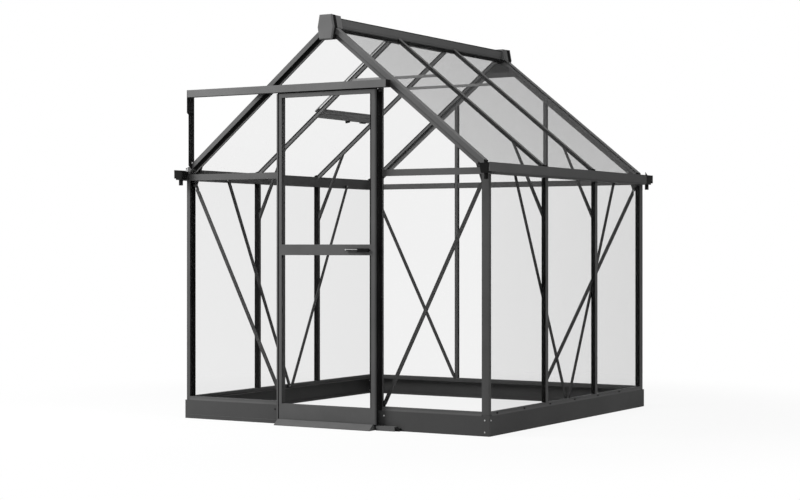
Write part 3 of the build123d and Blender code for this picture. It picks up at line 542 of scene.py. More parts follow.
def tube_faces(rows: int, columns: int) -> list[np.ndarray]:
    """Faces of a closed tube of points laid out as rows of columns, with a cap at each end.

    Args:
        rows: Number of rings.
        columns: Points in a ring.

    Returns:
        The quads between the rings and the two caps.
    """
    ring = np.arange(columns)
    start = (np.arange(rows - 1) * columns)[:, None]
    near, far = start + ring, start + np.roll(ring, -1)
    sides = np.stack([near, far, far + columns, near + columns], axis=-1).reshape(-1, 4)
    return [sides, ring[::-1][None], (ring + (rows - 1) * columns)[None]]


def turned(profile: Sequence[Span], sides: int, hexagon: bool = False) -> Surface:
    """Solid of revolution, or its six-sided kin, about Z.

    A point is (r cos a, r sin a, z); for a hexagon r is divided by the cosine of the angle to the
    middle of the nearest flat, so that the profile's radius is half the width across flats.

    Args:
        profile: Radius and height of each ring, from the bottom up.
        sides: Points in a ring.
        hexagon: Whether rings are hexagons.

    Returns:
        The closed surface.
    """
    rz = np.array(profile)
    angle = np.arange(sides) * 2 * np.pi / sides
    flat = np.pi / 3
    stretch = 1 / np.cos((angle + flat / 2) % flat - flat / 2) if hexagon else np.ones(sides)
    ring = np.stack([np.cos(angle), np.sin(angle)], axis=-1) * stretch[:, None]
    xy = rz[:, None, :1] * ring[None]
    z = np.repeat(rz[:, 1:], sides, axis=1)[..., None]
    return Surface(np.concatenate([xy, z], axis=-1).reshape(-1, 3), tube_faces(len(rz), sides))


def swept(section: np.ndarray, path: np.ndarray, side: np.ndarray, up: np.ndarray) -> Surface:
    """Closed section carried along a path.

    A point is path + u · side + v · up, with (u, v) a point of the section.

    Args:
        section: Points of the closed section, two columns, anticlockwise about the path.
        path: Points of the path, three columns.
        side: Direction of the section's first column, one row or one for each path point.
        up: Direction of its second column, the same.

    Returns:
        The closed surface.
    """
    side = np.broadcast_to(np.asarray(side, float), path.shape)
    up = np.broadcast_to(np.asarray(up, float), path.shape)
    grid = path[:, None] + section[None, :, :1] * side[:, None] + section[None, :, 1:] * up[:, None]
    return Surface(grid.reshape(-1, 3), tube_faces(len(path), len(section)))


def rounded_section(width: float, height: float, radius: float, steps: int = 3) -> np.ndarray:
    """Rectangle with rounded corners round the origin.

    Each corner is centre + radius · (cos a, sin a) over a quarter turn.

    Args:
        width: Size along the first axis.
        height: Size along the second axis.
        radius: Corner radius.
        steps: Points in a corner.

    Returns:
        Points of the closed section, anticlockwise.
    """
    angle = np.linspace(0, np.pi / 2, steps)[None] + np.arange(4)[:, None] * np.pi / 2
    sign = np.array([[1, 1], [-1, 1], [-1, -1], [1, -1]], float)
    centre = sign * (np.array([width, height]) / 2 - radius)
    arc = np.stack([np.cos(angle), np.sin(angle)], axis=-1) * radius
    return (centre[:, None] + arc).reshape(-1, 2)


def bar(start: Vector, stop: Vector, width: float, height: float, up: Vector = (0, 0, 1),
        radius: float = 0.0008) -> Surface:
    """Straight bar with rounded edges between two points.

    Args:
        start: Middle of one end.
        stop: Middle of the other end.
        width: Size across, square to up.
        height: Size along up.
        up: Direction of the height; it need not be square to the bar.
        radius: Radius of the long edges.

    Returns:
        The closed surface.
    """
    a, b, lift = (np.asarray(v, float) for v in (start, stop, up))
    along = (b - a) / np.linalg.norm(b - a)
    side = np.cross(lift, along)
    side /= np.linalg.norm(side)
    top = np.cross(along, side)
    section = rounded_section(width, height, min(radius, width / BAR_ROUNDING, height / BAR_ROUNDING))
    return swept(section, np.stack([a, b]), side, top)


def facing(normal: Vector, centre: Vector) -> np.ndarray:
    """Matrix that stands a piece's Z axis on a normal at a centre.

    Args:
        normal: Direction for the piece's Z axis.
        centre: Place of its origin.

    Returns:
        The 4 by 4 matrix.
    """
    z = np.asarray(normal, float)
    z = z / np.linalg.norm(z)
    helper = np.array([0.0, 0.0, 1.0]) if abs(z[2]) < UPRIGHT else np.array([1.0, 0.0, 0.0])
    x = np.cross(helper, z)
    x /= np.linalg.norm(x)
    place = np.eye(4)
    place[:3] = np.stack([x, np.cross(z, x), z, centre], axis=-1)
    return place


def block(low: Vector, high: Vector, radius: float = 0.0006) -> Surface:
    """Block between two corners, with rounded long edges and chamfered ends.

    Its rings are the rounded section across the longest side, drawn in at both ends.

    Args:
        low: Lowest corner.
        high: Highest corner.
        radius: Radius of the edges.

    Returns:
        The closed surface.
    """
    low, high = np.asarray(low, float), np.asarray(high, float)
    size = high - low
    axis = int(np.argmax(size))
    across = [(axis + 1) % 3, (axis + 2) % 3]
    edge = min(radius, *(size[across] / BLOCK_ROUNDING))
    section = rounded_section(*size[across], edge)
    drawn_in = 1 - 2 * edge / size[across]
    half = size[axis] / 2
    grid = np.zeros((4, len(section), 3))
    grid[..., axis] = np.array([-half, edge - half, half - edge, half])[:, None]
    grid[..., across] = section * np.stack([drawn_in, np.ones(2), np.ones(2), drawn_in])[:, None]
    return Surface((grid + (low + high) / 2).reshape(-1, 3), tube_faces(4, len(section)))


def place_piece(name: str, surface: Surface, material: bpy.types.Material, body: Body,
                smooth_angle: float = 35.0) -> bpy.types.Object:
    """Make an object of a surface, give it a finish and let it ride on a body.

    Args:
        name: Name of the piece.
        surface: Its points and faces.
        material: Its finish.
        body: Body that carries it.
        smooth_angle: Edges that turn less than this many degrees are shaded smooth.

    Returns:
        The new object.
    """
    mesh = bpy.data.meshes.new(name)
    faces = [face.tolist() for rows in surface.faces for face in rows]
    mesh.from_pydata(surface.points.tolist(), [], faces)
    mesh.validate()
    mesh.shade_smooth()
    mesh.set_sharp_from_angle(angle=math.radians(smooth_angle))
    mesh.materials.append(material)
    piece = bpy.data.objects.new(name, mesh)
    bpy.context.scene.collection.objects.link(piece)
    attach(piece, body.value)
    log.info("made %s with %d points", name, len(surface.points))
    return piece


def corners(node: str) -> tuple[np.ndarray, np.ndarray]:
    """Lowest and highest corner of a CAD node as arrays."""
    low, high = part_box(node)
    return np.array(low), np.array(high)


@dataclass(frozen=True)
class Slope:
    """Outer plane of both roof slopes: z = top - tan(pitch) * |x|.

    Attributes:
        top: Height at which the two planes meet over the ridge.
        pitch: Their angle to the level, in radians.
    """

    top: float
    pitch: float = math.radians(39.0)

    @classmethod
    def of_frame(cls) -> "Slope":
        """Find the plane from the inner upper edge of the right rafters."""
        low, high = corners("rafters_right")
        return cls(high[2] + math.tan(cls.pitch) * low[0])

    def normal(self, side: int) -> np.ndarray:
        """Outward direction of the slope on one side, -1 for left and 1 for right."""
        return np.array([side * math.sin(self.pitch), 0.0, math.cos(self.pitch)])

    def point(self, side: int, out: float, y: float, depth: float) -> np.ndarray:
        """Point under the plane: (side * out, y, top - tan(pitch) * out) - depth * normal."""
        on_plane = np.array([side * out, y, self.top - math.tan(self.pitch) * out])
        return on_plane - depth * self.normal(side)

    def strip(self, side: int, out: Span, y: float, depth: Span, wide: float) -> Surface:
        """Strip that runs down the slope.

        Args:
            side: -1 for the left slope and 1 for the right one.
            out: Distances of its ends from the ridge's middle.
            y: Middle of its width.
            depth: Distances of its faces under the plane.
            wide: Size along the ridge.

        Returns:
            The closed surface.
        """
        middle = sum(depth) / 2
        ends = [self.point(side, reach, y, middle) for reach in out]
        return bar(*ends, wide, depth[1] - depth[0], self.normal(side))


# ------------------------------------------------------------------------------------ assemblies
@dataclass
class CadDress:
    """Finishes of the CAD pieces.

    Attributes:
        finishes: The finishes.
        by_slot: Finish of the pieces of a record slot.
        by_node: Finish of the pieces that differ from their slot's, most of them lighter or darker copies as
            painted light or shade.
    """

    finishes: Finishes
    by_slot: dict[Slot, str] = field(default_factory=lambda: {
        Slot.FRAME: "frame", Slot.BASE: "base", Slot.BRACE: "brace", Slot.PLASTIC: "plastic",
        Slot.GLAZING: "glass",
    })
    # Painted shade: black on the track's supports, the darker brace coat on the corner gussets, darker coats
    # on the left wall's bars and the corner posts. Painted light: lighter coats on the ramp, vent, collar
    # ties, gutter, track, ridge caps, rafters and roof glass.
    by_node: dict[str, str] = field(default_factory=lambda: {
        "glass_roof_left": "left_roof_glass_painted_light", "vent_glass": "left_roof_glass_painted_light",
        "glass_roof_right": "right_roof_glass_painted_light", "track_supports": "plastic",
        "corner_gussets": "brace", "wall_bars_left": "shaded", "threshold_ramp": "painted_light_tread",
        "vent_frame": "vent", "vent_sill": "vent", "gutter_right": "gutter", "door_track": "painted_light_trim",
        "ridge_cap_front": "painted_light_trim", "ridge_cap_back": "painted_light_trim", "corner_posts": "post", "collar_ties": "vent",
        "gable_rafters_front": "rafter", "gable_rafters_back": "painted_light_trim", "rafters_left": "painted_light_trim",
    })

    def build(self, frame: dict) -> None:
        """Give every CAD piece the finish of its record slot, or of its node where by_node names one; several
        of these carry painted light or shade.
        """
        slots = {part["node"]: Slot(part["material_slot"]) for part in frame["record"]["subparts"]}
        for node, piece in frame["nodes"].items():
            piece.data.materials.clear()
            finish = self.by_node.get(node, self.by_slot[slots[node]])
            piece.data.materials.append(getattr(self.finishes, finish))
        log.info("dressed %d CAD pieces", len(frame["nodes"]))


@dataclass(frozen=True)
class BarSize:
    """Sizes that wall bars and roof bars share.

    Attributes:
        half: From a bar's edge to its middle.
        web_half: From its middle to the middle of the rubber strip on its web.
        strip: Thickness of the strip.
    """

    half: float = 0.0125
    web_half: float = 0.0101
    strip: float = 0.0012


@dataclass
class WallSeals:
    """Black rubber on the side walls' bars, partly real glazing seal and partly painted shade, and black
    blocks in the corner posts as painted shade.

    Attributes:
        finishes: The finishes.
        size: Sizes of the bars and strips.
        gap: What a strip leaves free between its bar and the glass.
        edge: Radius of a strip's edges.
        post_blocks: Spans of each block in a corner post, along its long side and out of the house.
        post_foot: How high the blocks begin over the post's foot.
    """

    finishes: Finishes
    size: BarSize = BarSize()
    gap: float = 0.0015
    edge: float = 0.0003
    post_blocks: tuple[tuple[Span, Span], ...] = (
        ((0.0075, 0.0405), (-0.0297, -0.0220)), ((0.0400, 0.0412), (-0.0240, -0.0075)),
    )
    post_foot: float = 0.020

    def build(self) -> None:
        """Place the seals of the bars and of the posts."""
        for name, parts in (("wall_seals_and_painted_shade", self.on_bars()), ("post_seals_painted_shade", self.in_posts())):
            # The bars' strips are partly glazing seal and partly painted shade; the posts' blocks are painted
            # shade.
            place_piece(name, merged(parts), self.finishes.rubber, Body.HOUSE)

    def on_bars(self) -> list[Surface]:
        """Shape strips on both flanks of every bar, behind the glass.

        Returns:
            The strips.
        """
        low, high = corners("wall_bars_right")
        glass = corners("glass_right")[0][0]
        x, wide = (low[0] + glass) / 2, glass - low[0] - self.gap
        return [
            bar(
                (sx * x, y + flank, low[2]), (sx * x, y + flank, high[2]), wide, self.size.strip, (0, 1, 0),
                self.edge,
            )
            for sx in (-1, 1)
            for y in (low[1] + self.size.half, high[1] - self.size.half)
            for flank in (-self.size.web_half, self.size.web_half)
        ]

    def in_posts(self) -> list[Surface]:
        """Shape a block in the heel of each corner post and one on the end of its long side, black as painted
        shade.

        A post's own axes are u along its long side and v square to it, out of the house; they turn
        by quarters from post to post.

        Returns:
            The blocks.
        """
        parts = []
        low, high = corners("corner_posts")
        heels = ((high[0], low[1], 2), (high[0], high[1], 3), (low[0], high[1], 0), (low[0], low[1], 1))
        for x, y, quarters in heels:
            u = np.array([math.cos(quarters * math.pi / 2), math.sin(quarters * math.pi / 2)])
            v = np.array([-u[1], u[0]])
            for along, out in self.post_blocks:
                ends = np.array([[x, y] + u * along[i] + v * out[i] for i in (0, 1)])
                foot, top = low[2] + self.post_foot, high[2]
                parts.append(block((*ends.min(axis=0), foot), (*ends.max(axis=0), top)))
        return parts


@dataclass
class RoofSeals:
    """Black rubber under the roof's glass, partly real seal and partly painted shade, more on the front gable
    and on the ridge as painted shade, and the gable's beads in a lighter coat as painted light.

    Distances "out" are level, from the ridge's middle; depths are square to the roof's plane, under it.

    Attributes:
        finishes: The finishes.
        slope: The roof's planes.
        size: Sizes of the bars and strips.
        rafter_out: Where the rafters' strips begin.
        rafter_short: How far they end before the rafters' feet.
        rafter_depth: Depths of their faces.
        reach: Where the gable's strips begin and end.
        lip_depth: Depths of the faces of the lip under a gable rafter's front.
        lip_wide: Width of the lip.
        lip_rear: How much of the rafter is behind the lip's stretch.
        seal_depth: Depth at which the rubber on the gable's glass begins.
        seal_front: From the glass to the middle of that rubber.
        bead_depth: Depth at which it ends and the bead begins, on each side.
        bead_end: Depth at which the bead ends.
        bead_front: From the glass to the middle of the bead.
        bead_wide: Width of the bead.
        ridge_half: Half the length of the ridge's strips.
        ridge_high: Height of the ridge's strips, and width of the upper ones.
        ridge_in: How far the upper ones' middles are inside the ridge's edges.
        foot_wide: Width of the lower ones.
        foot_out: How far the lower ones' middles are outside the ridge.
        foot_up: How far they are over its lowest edge.
    """

    finishes: Finishes
    slope: Slope
    size: BarSize = BarSize()
    rafter_out: float = 0.036
    rafter_short: float = 0.004
    rafter_depth: Span = (0.0085, 0.0195)
    reach: Span = (0.050, 0.880)
    lip_depth: Span = (0.0236, 0.0252)
    lip_wide: float = 0.017
    lip_rear: float = 0.024
    seal_depth: float = 0.0238
    seal_front: float = 0.0007
    bead_depth: dict[int, float] = field(default_factory=lambda: {-1: 0.0415, 1: 0.0300})
    bead_end: float = 0.0475
    bead_front: float = 0.0008
    bead_wide: float = 0.0014
    ridge_half: float = 0.918
    ridge_high: float = 0.0050
    ridge_in: float = 0.0022
    foot_wide: float = 0.0014
    foot_out: float = 0.0004
    foot_up: float = 0.0030

    def build(self) -> None:
        """Place the rafters' seals, those of the gable and ridge, and the beads."""
        glass = corners("glass_front")[0][1]
        gable = self.on_gable(glass) + self.on_ridge()
        for name, parts in (("roof_seals_and_painted_shade", self.on_rafters()), ("gable_seals_painted_shade", gable)):
            # Painted shade: black strips under the rafters, under the gable rafters' faces and along the
            # ridge.
            place_piece(name, merged(parts), self.finishes.rubber, Body.HOUSE)
        y = glass - self.bead_front
        beads = [
            self.slope.strip(side, self.reach, y, (start, self.bead_end), self.bead_wide)
            for side, start in self.bead_depth.items()
        ]
        # Painted light: the beads take the lighter trim coat.
        place_piece("gable_beads_painted_light", merged(beads), self.finishes.painted_light_trim, Body.HOUSE)

    def on_rafters(self) -> list[Surface]:
        """Shape strips under the glass: on both flanks of the right rafters, and behind the left ones.

        Returns:
            The strips.
        """
        low, high = corners("rafters_right")
        out, web = (self.rafter_out, high[0] - self.rafter_short), self.size.web_half
        return [
            self.slope.strip(side, out, y + flank, self.rafter_depth, self.size.strip)
            for side, flank in ((-1, web), (1, -web), (1, web))
            for y in (low[1] + self.size.half, high[1] - self.size.half)
        ]

    def on_gable(self, glass: float) -> list[Surface]:
        """Shape dark lips under the front rafters' faces, and rubber on the glass below them, both as painted
        shade.

        Args:
            glass: Y of the glass's front face.

        Returns:
            The lips and the strips of rubber.
        """
        low, high = corners("gable_rafters_front")
        lip, seal = (low[1] + high[1] - self.lip_rear) / 2, glass - self.seal_front
        return [
            self.slope.strip(side, self.reach, lip, self.lip_depth, self.lip_wide) for side in self.bead_depth
        ] + [
            self.slope.strip(side, self.reach, seal, (self.seal_depth, end), self.size.strip)
            for side, end in self.bead_depth.items()
        ]

    def on_ridge(self) -> list[Surface]:
        """Shape strips along the ridge's upper edges and at its foot, black as painted shadow.

        Returns:
            The strips.
        """
        low, high = corners("ridge_beam")
        upper = (self.ridge_high, high[0] - self.ridge_in, high[2] - self.ridge_in)
        lower = (self.foot_wide, high[0] + self.foot_out, low[2] + self.foot_up)
        return [
            bar((sx * x, -self.ridge_half, z), (sx * x, self.ridge_half, z), wide, self.ridge_high)
            for sx in (-1, 1)
            for wide, x, z in (upper, lower)
        ]


@dataclass
class DoorSeals:
    """Black strips on the door's posts and on its right stile, as painted shade, and gaskets on its glass.

    Attributes:
        finishes: The finishes.
        thick: Thickness of a strip.
        sunk: How far a strip's back is let in.
        post_wide: Width of the posts' strips.
        post_top: Height at which they end.
        edge: What the stile's strip leaves free at its front and back.
        gasket_x: Sides of the gaskets.
        gasket_z: Foot and top of each gasket.
        gasket_thick: Thickness of the gaskets.
    """

    finishes: Finishes
    thick: float = 0.0012
    sunk: float = 0.0002
    post_wide: float = 0.025
    post_top: float = 1.700
    edge: float = 0.001
    gasket_x: Span = (0.2620, 0.2725)
    gasket_z: tuple[Span, ...] = ((0.110, 0.877), (0.932, 1.690))
    gasket_thick: float = 0.0020

    def build(self) -> None:
        """Place the strips of the posts and those of the door."""
        rubber = self.finishes.rubber
        # Painted shade: black strips on the posts' fronts and on the right stile's side.
        place_piece("door_post_seals_painted_shade", merged(self.on_posts()), rubber, Body.HOUSE)
        place_piece("door_seals_and_painted_shade", merged(self.on_door()), rubber, Body.DOOR)

    def on_posts(self) -> list[Surface]:
        """Shape strips on the posts' front faces, behind the sliding door.

        Returns:
            The strips.
        """
        low, high = corners("door_posts")
        return [
            block((x, low[1] - self.thick, low[2]), (x + self.post_wide, low[1] + self.sunk, self.post_top))
            for x in (low[0], high[0] - self.post_wide)
        ]

    def on_door(self) -> list[Surface]:
        """Shape a strip on the right stile's outer side, and gaskets beside the stile on the glass.

        Returns:
            The strip and the gaskets.
        """
        low, high = corners("door_stiles")
        glass = corners("door_glass")[0][1]
        strip = block(
            (high[0] - self.sunk, low[1] + self.edge, low[2]),
            (high[0] + self.thick, high[1] - self.edge, high[2]),
        )
        left, right = self.gasket_x
        return [strip] + [
            block((left, glass - self.gasket_thick, foot), (right, glass + self.sunk, top))
            for foot, top in self.gasket_z
        ]


@dataclass
class RidgeTrim:
    """Black sleeves round the necks of the ridge caps as painted shade, hoods behind the caps in the lighter
    trim coat as painted light, and the rear apex's cover.

    Attributes:
        finishes: The finishes.
        inset: How far a sleeve's outline is drawn in from its cap's.
        shoulder: How much narrower the outline is at its top and foot than at the waist, on each side.
        sleeve_y: Distances of a sleeve's ends from the middle of the house.
        hood_rings: Distance from the middle of the house and drawing-in of each of a hood's rings.
        hood_halves: Half a hood's width at its foot and at its top.
        hood_foot: Height of its foot.
        hood_drop: How far its top is under its cap's.
        cover_half: Half the cover's width.
        cover_z: Heights of its foot and top.
        cover_front: From its front to the rear glass.
        cover_thick: Its thickness.
        cover_edge: Radius of its edges.
    """

    finishes: Finishes
    inset: float = 0.0012
    shoulder: float = 0.012
    sleeve_y: Span = (0.9490, 0.9775)
    hood_rings: tuple[Span, ...] = ((0.921, 1.0), (0.899, 1.0), (0.896, 0.96))
    hood_halves: Span = (0.0465, 0.0350)
    hood_foot: float = 2.0365
    hood_drop: float = 0.002
    cover_half: float = 0.062
    cover_z: Span = (1.966, 2.028)
    cover_front: float = 0.0075
    cover_thick: float = 0.003
    cover_edge: float = 0.001

    def sleeve(self, node: str) -> Surface:
        """Shape the six-sided sleeve behind a cap's face plate: the cap's own outline, drawn in.

        Args:
            node: The cap's name.

        Returns:
            The closed surface.
        """
        low, high = corners(node)
        waist, middle = high[0] - self.inset, (low[2] + high[2]) / 2
        half, bottom, top = waist - self.shoulder, low[2] + self.inset, high[2] - self.inset
        outline = np.array([
            (-half, bottom), (half, bottom), (waist, middle), (half, top), (-half, top), (-waist, middle)
        ])
        sign = 1 if low[1] > 0 else -1
        path = np.array([(0, sign * y, 0) for y in self.sleeve_y])[:: -sign]
        return swept(outline, path, (1, 0, 0), (0, 0, 1))

    def hood(self, sign: int) -> Surface:
        """Shape the hood over the ridge behind a cap, above the roof's plane.

        A ring's point is middle + share · (outline - middle), with the share 1 but for the last ring.

        Args:
            sign: -1 for the front cap and 1 for the rear one.

        Returns:
            The closed surface.
        """
        top = corners("ridge_cap_front")[1][2] - self.hood_drop
        foot, head = self.hood_halves
        outline = np.array([(-foot, self.hood_foot), (foot, self.hood_foot), (head, top), (-head, top)])
        middle = outline.mean(axis=0)
        rings = np.array(self.hood_rings)[:: sign]
        grid = np.zeros((len(rings), len(outline), 3))
        grid[..., [0, 2]] = middle + (outline - middle) * rings[:, None, 1:]
        grid[..., 1] = sign * rings[:, :1]
        return Surface(grid.reshape(-1, 3), tube_faces(*grid.shape[:2]))

    def build(self) -> None:
        """Place both sleeves, both hoods and the cover."""
        sleeves = merged([self.sleeve("ridge_cap_front"), self.sleeve("ridge_cap_back")])
        # Painted shade: black sleeves in the caps' necks.
        place_piece("cap_sleeves_painted_shade", sleeves, self.finishes.rubber, Body.HOUSE)
        hoods = merged([self.hood(-1), self.hood(1)])
        place_piece("cap_hoods", hoods, self.finishes.painted_light_trim, Body.HOUSE)
        y, (foot, top) = corners("glass_back")[0][1] - self.cover_front, self.cover_z
        cover = block(
            (-self.cover_half, y, foot), (self.cover_half, y + self.cover_thick, top), self.cover_edge
        )
        place_piece("apex_cover", cover, self.finishes.plastic, Body.HOUSE)


@dataclass
class Plugs:
    """Small moulded parts: plugs in the rafters' lower ends, sill clips and gutter fins; the front fin is
    bright metal as a painted highlight and the rear one black as painted shade.

    Attributes:
        finishes: The finishes.
        plug_y: Places of the plugs along the ridge.
        plug_ends: Distance from the middle and height of a plug's ends.
        plug_size: Its width and height.
        plug_edge: Radius of its edges.
        clip_y: Places of the clips along the sills.
        clip_place: Distance from the middle and height of the clips.
        clip_half: Half a clip's length.
        clip_size: Its width and height.
        clip_edge: Radius of its edges.
        fins: Foot's X and Y, length and height of the fin on each side.
        fin_base: Height of the fins' feet.
        fin_half: Half a fin's thickness.
    """

    finishes: Finishes
    plug_y: tuple[float, ...] = (-0.951, -0.310, 0.295, 0.902)
    plug_ends: tuple[Span, Span] = ((0.898, 1.3400), (0.912, 1.3350))
    plug_size: Span = (0.016, 0.012)
    plug_edge: float = 0.002
    clip_y: tuple[float, ...] = (-0.860, -0.566, -0.271, 0.027, 0.323, 0.608)
    clip_place: Span = (0.9165, 0.1090)
    clip_half: float = 0.0065
    clip_size: Span = (0.009, 0.008)
    clip_edge: float = 0.0015
    fins: dict[int, tuple[Span, float, float]] = field(default_factory=lambda: {
        -1: ((-0.902, -0.980), 0.020, 0.024), 1: ((0.948, 0.955), 0.018, 0.028),
    })
    fin_base: float = 1.322
    fin_half: float = 0.0012

    def build(self) -> None:
        """Place the plugs, clips and fins."""
        plugs, clips = [], []
        out, height = self.clip_place
        for sx in (-1, 1):
            for y in self.plug_y:
                start, stop = ((sx * x, y, z) for x, z in self.plug_ends)
                plugs.append(bar(start, stop, *self.plug_size, radius=self.plug_edge))
            for y in self.clip_y:
                start, stop = ((sx * out, y + step, height) for step in (-self.clip_half, self.clip_half))
                clips.append(bar(start, stop, *self.clip_size, radius=self.clip_edge))
        for name, parts in (("rafter_plugs", plugs), ("sill_clips", clips)):
            place_piece(name, merged(parts), self.finishes.plastic, Body.HOUSE)
        # Painted highlight on the front fin and painted shade on the rear one: the same fin in two finishes.
        place_piece("gutter_fin_front_painted_highlight", self.fin(-1), self.finishes.satin_metal_painted_highlight, Body.HOUSE)
        place_piece("gutter_fin_back_painted_shade", self.fin(1), self.finishes.plastic, Body.HOUSE)

    def fin(self, side: int) -> Surface:
        """Shape a thin upright triangle at a gutter's edge, leaning towards the house.

        Args:
            side: -1 for the left gutter's front end and 1 for the right gutter's rear end.

        Returns:
            The closed surface.
        """
        (x, y), long, rise = self.fins[side]
        outline = np.array([(0, 0), (-side * long, rise), (-side * long, 0)])[:: side]
        path = np.array([(x, y + step, self.fin_base) for step in (self.fin_half, -self.fin_half)])
        return swept(outline, path, (1, 0, 0), (0, 0, 1))


@dataclass
class BraceTrim:
    """Stiffening ribs on the braces, and plates that join the gables' braces to the gussets.

    Attributes:
        finishes: The finishes.
        sheet: Thickness of the braces and plates.
        rib: Height of a rib.
        wide: Width of a rib.
        side_ends: Place along the ridge of a side rib's ends, and their rise over the brace's top and foot.
        gable_ends: Distance from the middle and height of a gable rib's ends.
        plate_ends: The same of a plate's ends.
        plate_wide: Width of a plate.
        plate_back: How far a plate is behind the brace's outer face.
    """

    finishes: Finishes
    sheet: float = 0.002
    rib: float = 0.005
    wide: float = 0.019
    side_ends: tuple[Span, Span] = ((0.605, -0.016), (0.018, 0.022))
    gable_ends: tuple[Span, Span] = ((0.857, 1.212), (0.314, 0.132))
    plate_ends: tuple[Span, Span] = ((0.862, 1.222), (0.876, 1.254))
    plate_wide: float = 0.016
    plate_back: float = 0.008

    def build(self) -> None:
        """Place the ribs and the plates."""
        ribs, plates = [], []
        low, high = corners("side_braces")
        inner, outer = corners("wall_bars_right")[0][0], corners("gable_braces")[1][1]
        lift = self.sheet + self.rib / 2
        for sx, sy in SIGNS:
            (top, drop), (foot, rise) = self.side_ends
            x, y = sx * (inner - lift), sy * (outer - lift)
            ends = (x, sy * top, high[2] + drop), (x, sy * foot, low[2] + rise)
            ribs.append(bar(*ends, self.wide, self.rib, (sx, 0, 0)))
            ends = [(sx * out, y, z) for out, z in self.gable_ends]
            ribs.append(bar(*ends, self.wide, self.rib, (0, sy, 0)))
            ends = [(sx * out, sy * (outer - self.plate_back), z) for out, z in self.plate_ends]
            plates.append(bar(*ends, self.plate_wide, self.sheet, (0, sy, 0)))
        for name, parts in (("brace_ribs", ribs), ("brace_plates", plates)):
            place_piece(name, merged(parts), self.finishes.brace, Body.HOUSE)


@dataclass
class TrackTrim:
    """Black end and lower edge of the door's track, as painted shade on the end and a painted shadow line
    under the track.

    Attributes:
        finishes: The finishes.
        lap: How far the end sits over the track.
        out: How far it stands out past the track.
        edge_y: Front and back of the edge, behind the track's front.
        drop: How far the edge hangs under the track.
        sunk: How far it is let in.
    """

    finishes: Finishes
    lap: float = 0.001
    out: float = 0.002
    edge_y: Span = (0.002, 0.006)
    drop: float = 0.0016
    sunk: float = 0.0002

    def build(self) -> None:
        """Place the end and the edge as one piece."""
        low, high = corners("door_track")
        end = block((high[0] - self.lap, low[1], low[2]), (high[0] + self.out, high[1], high[2]))
        front, back = (low[1] + y for y in self.edge_y)
        edge = block((low[0], front, low[2] - self.drop), (high[0], back, low[2] + self.sunk))
        # Painted shade on the end and a painted shadow under the track.
        place_piece("track_trim_painted_shade", merged([end, edge]), self.finishes.plastic, Body.HOUSE)


@dataclass
class RampTrim:
    """Lip plate on the door's ramp, and the black end of its side block.

    Attributes:
        finishes: The finishes.
        climb: Depth and height of the ramp's slope.
        lip_middle: How far the lip's middle is behind the ramp's front and over the ground.
        lip_right: X of its right end.
        lip_size: Its size up the slope and its thickness.
        stub_front: Y of the black end's front.
        stub_z: Heights of its foot and top.
        stub_out: How far it stands out past the ramp.
        stub_lap: How far it sits over the ramp's end, and how far it is short of the ramp's back.
        stub_edge: Radius of its edges.
    """

    finishes: Finishes
    climb: Span = (0.0365, 0.0285)
    lip_middle: Span = (0.0183, 0.0163)
    lip_right: float = 0.287
    lip_size: Span = (0.0445, 0.0016)
    stub_front: float = -0.972
    stub_z: Span = (0.0005, 0.0150)
    stub_out: float = 0.024
    stub_lap: float = 0.001
    stub_edge: float = 0.001

    def build(self) -> None:
        """Place the lip and the black end."""
        low, high = corners("threshold_ramp")
        depth, height = self.climb
        up = np.array([0, -height, depth]) / math.hypot(depth, height)
        y, z = low[1] + self.lip_middle[0], self.lip_middle[1]
        lip = bar((low[0], y, z), (self.lip_right, y, z), *self.lip_size, up)
        place_piece("ramp_lip", lip, self.finishes.painted_light_tread, Body.HOUSE)
        foot, top = self.stub_z
        stub = block(
            (high[0] - self.stub_lap, self.stub_front, foot),
            (high[0] + self.stub_out, high[1] - self.stub_lap, top), self.stub_edge,
        )
        place_piece("ramp_stub", stub, self.finishes.plastic, Body.HOUSE)


